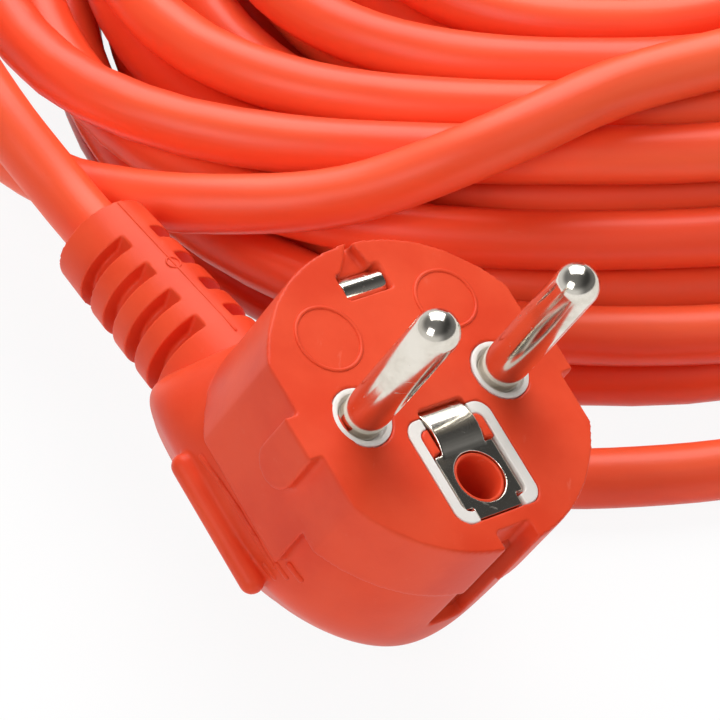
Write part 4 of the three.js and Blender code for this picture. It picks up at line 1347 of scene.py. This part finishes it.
@dataclass(frozen=True)
class MouldedVinyl:
    """Semi-gloss moulded vinyl: cloudy pigment, an orange-peel skin, fine scuffs and dust."""

    name: str = "moulded_orange_vinyl"
    pigment: str = "ef512f"
    deep: str = "e34222"
    dust: str = "f7a58c"
    rough: float = 0.37

    def material(self) -> bpy.types.Material:
        """The finish as a material."""
        make = Shader(self.name)
        place_on = make.place()
        cloud = make.noise(place_on, 90.0, 4.0)
        peel = make.noise(place_on, 1500.0, 2.0)
        pits = make.levels(make.noise(place_on, 2600.0, 1.0), 0.66, 0.78)
        rubbed = make.noise(make.stretched(place_on, (1.0, 0.25, 1.0)), 520.0, 6.0, 0.7)
        scuff = make.levels(rubbed, 0.63, 0.74)
        body = make.mix(make.levels(cloud, 0.3, 0.7), colour(self.deep), colour(self.pigment))
        tint = make.mix(scuff * 0.16, body, colour(self.dust))
        normal = make.bump(peel, 0.000012)
        normal = make.bump(1.0 - pits, 0.000010, normal)
        return make.surface({
            "Base Color": tint,
            "Roughness": self.rough + cloud * 0.08 + scuff * 0.18,
            "Normal": normal,
            "Specular IOR Level": 0.2,
            "Subsurface Weight": 0.03,
            "Subsurface Radius": (0.0012, 0.0004, 0.0002),
            "Subsurface Scale": 1.0,
        })


@dataclass(frozen=True)
class VinylSheath:
    """The cord's satin sheath: long drawn streaks, cloudy colour along its length, rubbed patches."""

    name: str = "satin_orange_sheath"
    pigment: str = "ff6239"
    deep: str = "f44d2a"
    rubbed: str = "f8967b"
    rough: float = 0.34

    def material(self) -> bpy.types.Material:
        """The finish as a material; it follows the straightened cord's own coordinates."""
        make = Shader(self.name)
        along = make.place("straightened")
        cloud = make.noise(make.stretched(along, (1.0, 1.0, 0.12)), 160.0, 3.0)
        streak = make.noise(make.stretched(along, (1.0, 1.0, 0.02)), 1900.0, 2.0)
        peel = make.noise(along, 1300.0, 2.0)
        rubs = make.levels(make.noise(make.stretched(along, (1.0, 1.0, 0.3)), 380.0, 6.0, 0.72), 0.64, 0.75)
        body = make.mix(make.levels(cloud, 0.3, 0.7), colour(self.deep), colour(self.pigment))
        tint = make.mix(rubs * 0.18, body, colour(self.rubbed))
        normal = make.bump(streak, 0.000012)
        normal = make.bump(peel, 0.000008, normal)
        return make.surface({
            "Base Color": tint,
            "Roughness": self.rough + streak * 0.1 + rubs * 0.18,
            "Normal": normal,
            "Specular IOR Level": 0.35,
            "Subsurface Weight": 0.03,
            "Subsurface Radius": (0.0012, 0.0004, 0.0002),
            "Subsurface Scale": 1.0,
        })


@dataclass(frozen=True)
class MouldedPlastic:
    """Matt hard plastic: a fine grain, faint handling marks."""

    name: str
    pigment: str
    grime: str
    rough: float = 0.45

    def material(self) -> bpy.types.Material:
        """The finish as a material."""
        make = Shader(self.name)
        place_on = make.place()
        grain = make.noise(place_on, 2400.0, 2.0)
        marks = make.levels(make.noise(place_on, 260.0, 6.0, 0.7), 0.5, 0.8)
        return make.surface({
            "Base Color": make.mix(marks * 0.35, colour(self.pigment), colour(self.grime)),
            "Roughness": self.rough + marks * 0.15 + grain * 0.05,
            "Normal": make.bump(grain, 0.000008),
        })


@dataclass(frozen=True)
class PlatedMetal:
    """Plated or bare metal: fine drawn lines, small scratches and cloudy tarnish."""

    name: str
    bright: str
    tarnish: str
    rough: float = 0.16
    grain: Triple = (1.0, 1.0, 0.06)

    def material(self) -> bpy.types.Material:
        """The finish as a material."""
        make = Shader(self.name)
        place_on = make.place()
        lines = make.noise(make.stretched(place_on, self.grain), 2600.0, 3.0, 0.6)
        cloud = make.levels(make.noise(place_on, 210.0, 5.0, 0.62), 0.42, 0.72)
        scratch = make.levels(make.noise(make.stretched(place_on, (0.2, 1.0, 1.0)), 1500.0, 2.0), 0.66, 0.74)
        return make.surface({
            "Base Color": make.mix(cloud * 0.4, colour(self.bright), colour(self.tarnish)),
            "Metallic": 1.0,
            "Roughness": self.rough + lines * 0.08 + cloud * 0.04 + scratch * 0.15,
            "Normal": make.bump(lines, 0.0000018),
        })


@dataclass
class Finishes:
    """Every material of the object, made once."""

    shell: bpy.types.Material
    sheath: bpy.types.Material
    insert: bpy.types.Material
    nickel: bpy.types.Material
    brass: bpy.types.Material
    steel: bpy.types.Material
    cores: dict[str, bpy.types.Material]

    @classmethod
    def make(cls) -> "Finishes":
        """Makes the object's materials."""
        return cls(
            shell=MouldedVinyl().material(),
            sheath=VinylSheath().material(),
            insert=MouldedPlastic("white_moulding", "ece7e1", "c9c0b4").material(),
            nickel=PlatedMetal("nickel_plate", "e9e3d8", "b9ad99", 0.1).material(),
            brass=PlatedMetal("stamped_brass", "d9b05a", "a67c34", 0.26).material(),
            steel=PlatedMetal("spring_wire", "b7bbc0", "86898c", 0.24, (1.0, 0.1, 1.0)).material(),
            cores={
                "live": MouldedPlastic("brown_core", "6f3d20", "4f2a15", 0.4).material(),
                "neutral": MouldedPlastic("blue_core", "2d62c4", "1d428a", 0.4).material(),
                "earth": MouldedPlastic("green_core", "79a82f", "c9c22a", 0.4).material(),
            },
        )


@dataclass
class InnerPieces:
    """The solids that stay as they are: contacts, crimps, cores, carrier, shutter and its spring."""

    spring_anchor: Triple = (0.0, 0.0743, 0.0635039)
    spring_keep: float = 0.3

    def dress(self, finishes: Finishes) -> None:
        """Gives each kept solid its material, and gives the spring a mesh of its own.

        Args:
            finishes: The object's materials.
        """
        kinds: list[tuple[str, Callable[[str], bpy.types.Material]]] = [
            ("crimp", lambda name: finishes.brass),
            ("core", lambda name: finishes.cores[name.rsplit("_", 1)[1]]),
            ("contact_carrier", lambda name: finishes.insert),
            ("_contact", lambda name: finishes.brass),
            ("shutter_spring", lambda name: finishes.steel),
            ("shutter", lambda name: finishes.insert),
        ]
        for name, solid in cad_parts.items():
            for word, finish in kinds:
                if word in name:
                    for slot in solid.material_slots:
                        slot.material = finish(name)
                    log.info("%s keeps its solid", name)
                    break
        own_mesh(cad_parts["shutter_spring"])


# ---------------------------------------------------------------- stage


@dataclass(frozen=True)
class Lamp:
    """A square soft light that points at the object's middle."""

    name: str
    at: Triple
    size: float
    power: float
    in_reflections: bool = True
    target: Triple = (0.0, 0.0, 0.03)

    def build(self) -> None:
        """Puts the lamp into the scene."""
        data = bpy.data.lights.new(self.name, "AREA")
        data.size = self.size
        data.energy = self.power
        lamp = bpy.data.objects.new(self.name, data)
        lamp.location = self.at
        lamp.rotation_euler = (Vector(self.target) - Vector(self.at)).to_track_quat("-Z", "Y").to_euler()
        lamp.visible_glossy = self.in_reflections
        bpy.context.scene.collection.objects.link(lamp)


@dataclass
class Studio:
    """White floor, soft overhead light and the camera."""

    target: Triple = (0.0, 0.0, 0.0375)
    elevation: float = 45.0
    distance: float = 0.45
    across: float = -0.00735
    upward: float = 0.00327
    view_width: float = 0.07302
    floor_size: float = 3.0
    floor_glow: float = 0.92
    world_level: float = 0.12
    mirrored_level: float = 0.7
    mirrored_fade: float = 0.75
    lamps: tuple[Lamp, ...] = (
        Lamp("behind", (0.02, 0.5, 0.7), 0.8, 9.4),
        Lamp("front", (-0.45, -0.6, 0.6), 0.45, 2.8),
        Lamp("right", (0.4, -0.5, 0.65), 0.6, 1.5, in_reflections=False),
    )

    def camera(self) -> None:
        """A long lens that looks along +Y and down, as the photograph does."""
        sensor = 36.0
        data = bpy.data.cameras.new("camera")
        data.sensor_width = sensor
        data.lens = sensor * self.distance / self.view_width
        data.clip_start = 0.01
        tilt = math.radians(self.elevation)
        right = Vector((1, 0, 0))
        above = Vector((0, math.sin(tilt), math.cos(tilt)))
        back = Vector((0, -math.cos(tilt), math.sin(tilt)))
        camera = bpy.data.objects.new("camera", data)
        camera.location = (Vector(self.target) + Vector(LAYOUT.origin) + right * self.across
                           + above * self.upward + back * self.distance)
        camera.rotation_euler = (math.pi / 2 - tilt, 0, 0)
        bpy.context.scene.collection.objects.link(camera)
        bpy.context.scene.camera = camera

    def floor(self) -> None:
        """A white floor that looks white to the camera and in reflections, and keeps its shadow."""
        half = self.floor_size / 2
        mesh = bpy.data.meshes.new("floor")
        corners = [(-half, -half, 0), (half, -half, 0), (half, half, 0), (-half, half, 0)]
        mesh.from_pydata(corners, [], [[0, 1, 2, 3]])
        piece = bpy.data.objects.new("floor", mesh)
        bpy.context.scene.collection.objects.link(piece)
        make = Shader("floor_white")
        rays = make.node("ShaderNodeLightPath")
        seen = Value(make, rays.outputs["Is Camera Ray"]) + Value(make, rays.outputs["Is Glossy Ray"])
        seen = seen + Value(make, rays.outputs["Is Transmission Ray"])
        lit = make.value("ShaderNodeBsdfDiffuse", None, {"Color": (0.92, 0.92, 0.92, 1.0)})
        glow = make.value("ShaderNodeEmission", None, {"Color": WHITE, "Strength": 1.0})
        blend = make.value("ShaderNodeMixShader", None, {0: seen * self.floor_glow, 1: lit, 2: glow})
        make.node("ShaderNodeOutputMaterial", None, {"Surface": blend})
        piece.data.materials.append(make.material)

    def world(self) -> None:
        """An even pale surround: white where it is seen, darker above and to the right in reflections."""
        bpy.context.scene.world = bpy.data.worlds.new("surround")
        make = Shader("surround", bpy.context.scene.world)
        rays = make.node("ShaderNodeLightPath")
        camera = Value(make, rays.outputs["Is Camera Ray"])
        glossy = Value(make, rays.outputs["Is Glossy Ray"])
        looking = make.value("ShaderNodeTexCoord", output="Generated")
        way = make.node("ShaderNodeSeparateXYZ", None, {0: looking})
        above = make.levels(Value(make, way.outputs["Z"]), 0.2, 0.65)
        right = make.levels(Value(make, way.outputs["X"]), -0.1, 0.7)
        fade = self.mirrored_fade
        mirrored = (1.0 - above * fade) * (1.0 - right * fade) * self.mirrored_level
        level = camera + glossy * mirrored + (1.0 - camera - glossy) * self.world_level
        back = make.value("ShaderNodeBackground", None, {"Color": WHITE, "Strength": level})
        make.node("ShaderNodeOutputWorld", None, {"Surface": back})

    def build(self) -> None:
        """Sets the stage and the lamps."""
        self.camera()
        self.floor()
        self.world()
        for lamp in self.lamps:
            lamp.build()
        bpy.context.scene.view_settings.view_transform = "Standard"


def main() -> None:
    """Builds the stage, the cord, the plug and the socket, and dresses the kept solids."""
    logging.basicConfig(level=logging.INFO, format="%(message)s")
    Studio().build()
    finishes = Finishes.make()
    plug, socket, relief, cord = Plug(), TrailingSocket(), Relief(), Cord()
    relief_frame, socket_frame = LAYOUT.plug_matrix() @ plug.relief_matrix(), LAYOUT.socket_matrix()
    start = relief_frame @ Vector((0.0, relief.length, 0.0))
    start_way = relief_frame.to_3x3() @ Vector((0.0, 1.0, 0.0))
    end = socket_frame @ Vector((0.0, 0.0, socket.relief_root - relief.length))
    end_way = socket_frame.to_3x3() @ Vector((0.0, 0.0, 1.0))
    line = cord.centre_line(start, start_way, end, end_way)
    tube = dress(cord.build(line), finishes.sheath, Slot.SHEATH,
                 "cord_coil", "cord_lead", "cord_tail", "plug_sheath", "socket_sheath")
    plug.build(finishes)
    ends = socket.build(finishes)
    InnerPieces().dress(finishes)


if __name__ == "__main__":
    main()
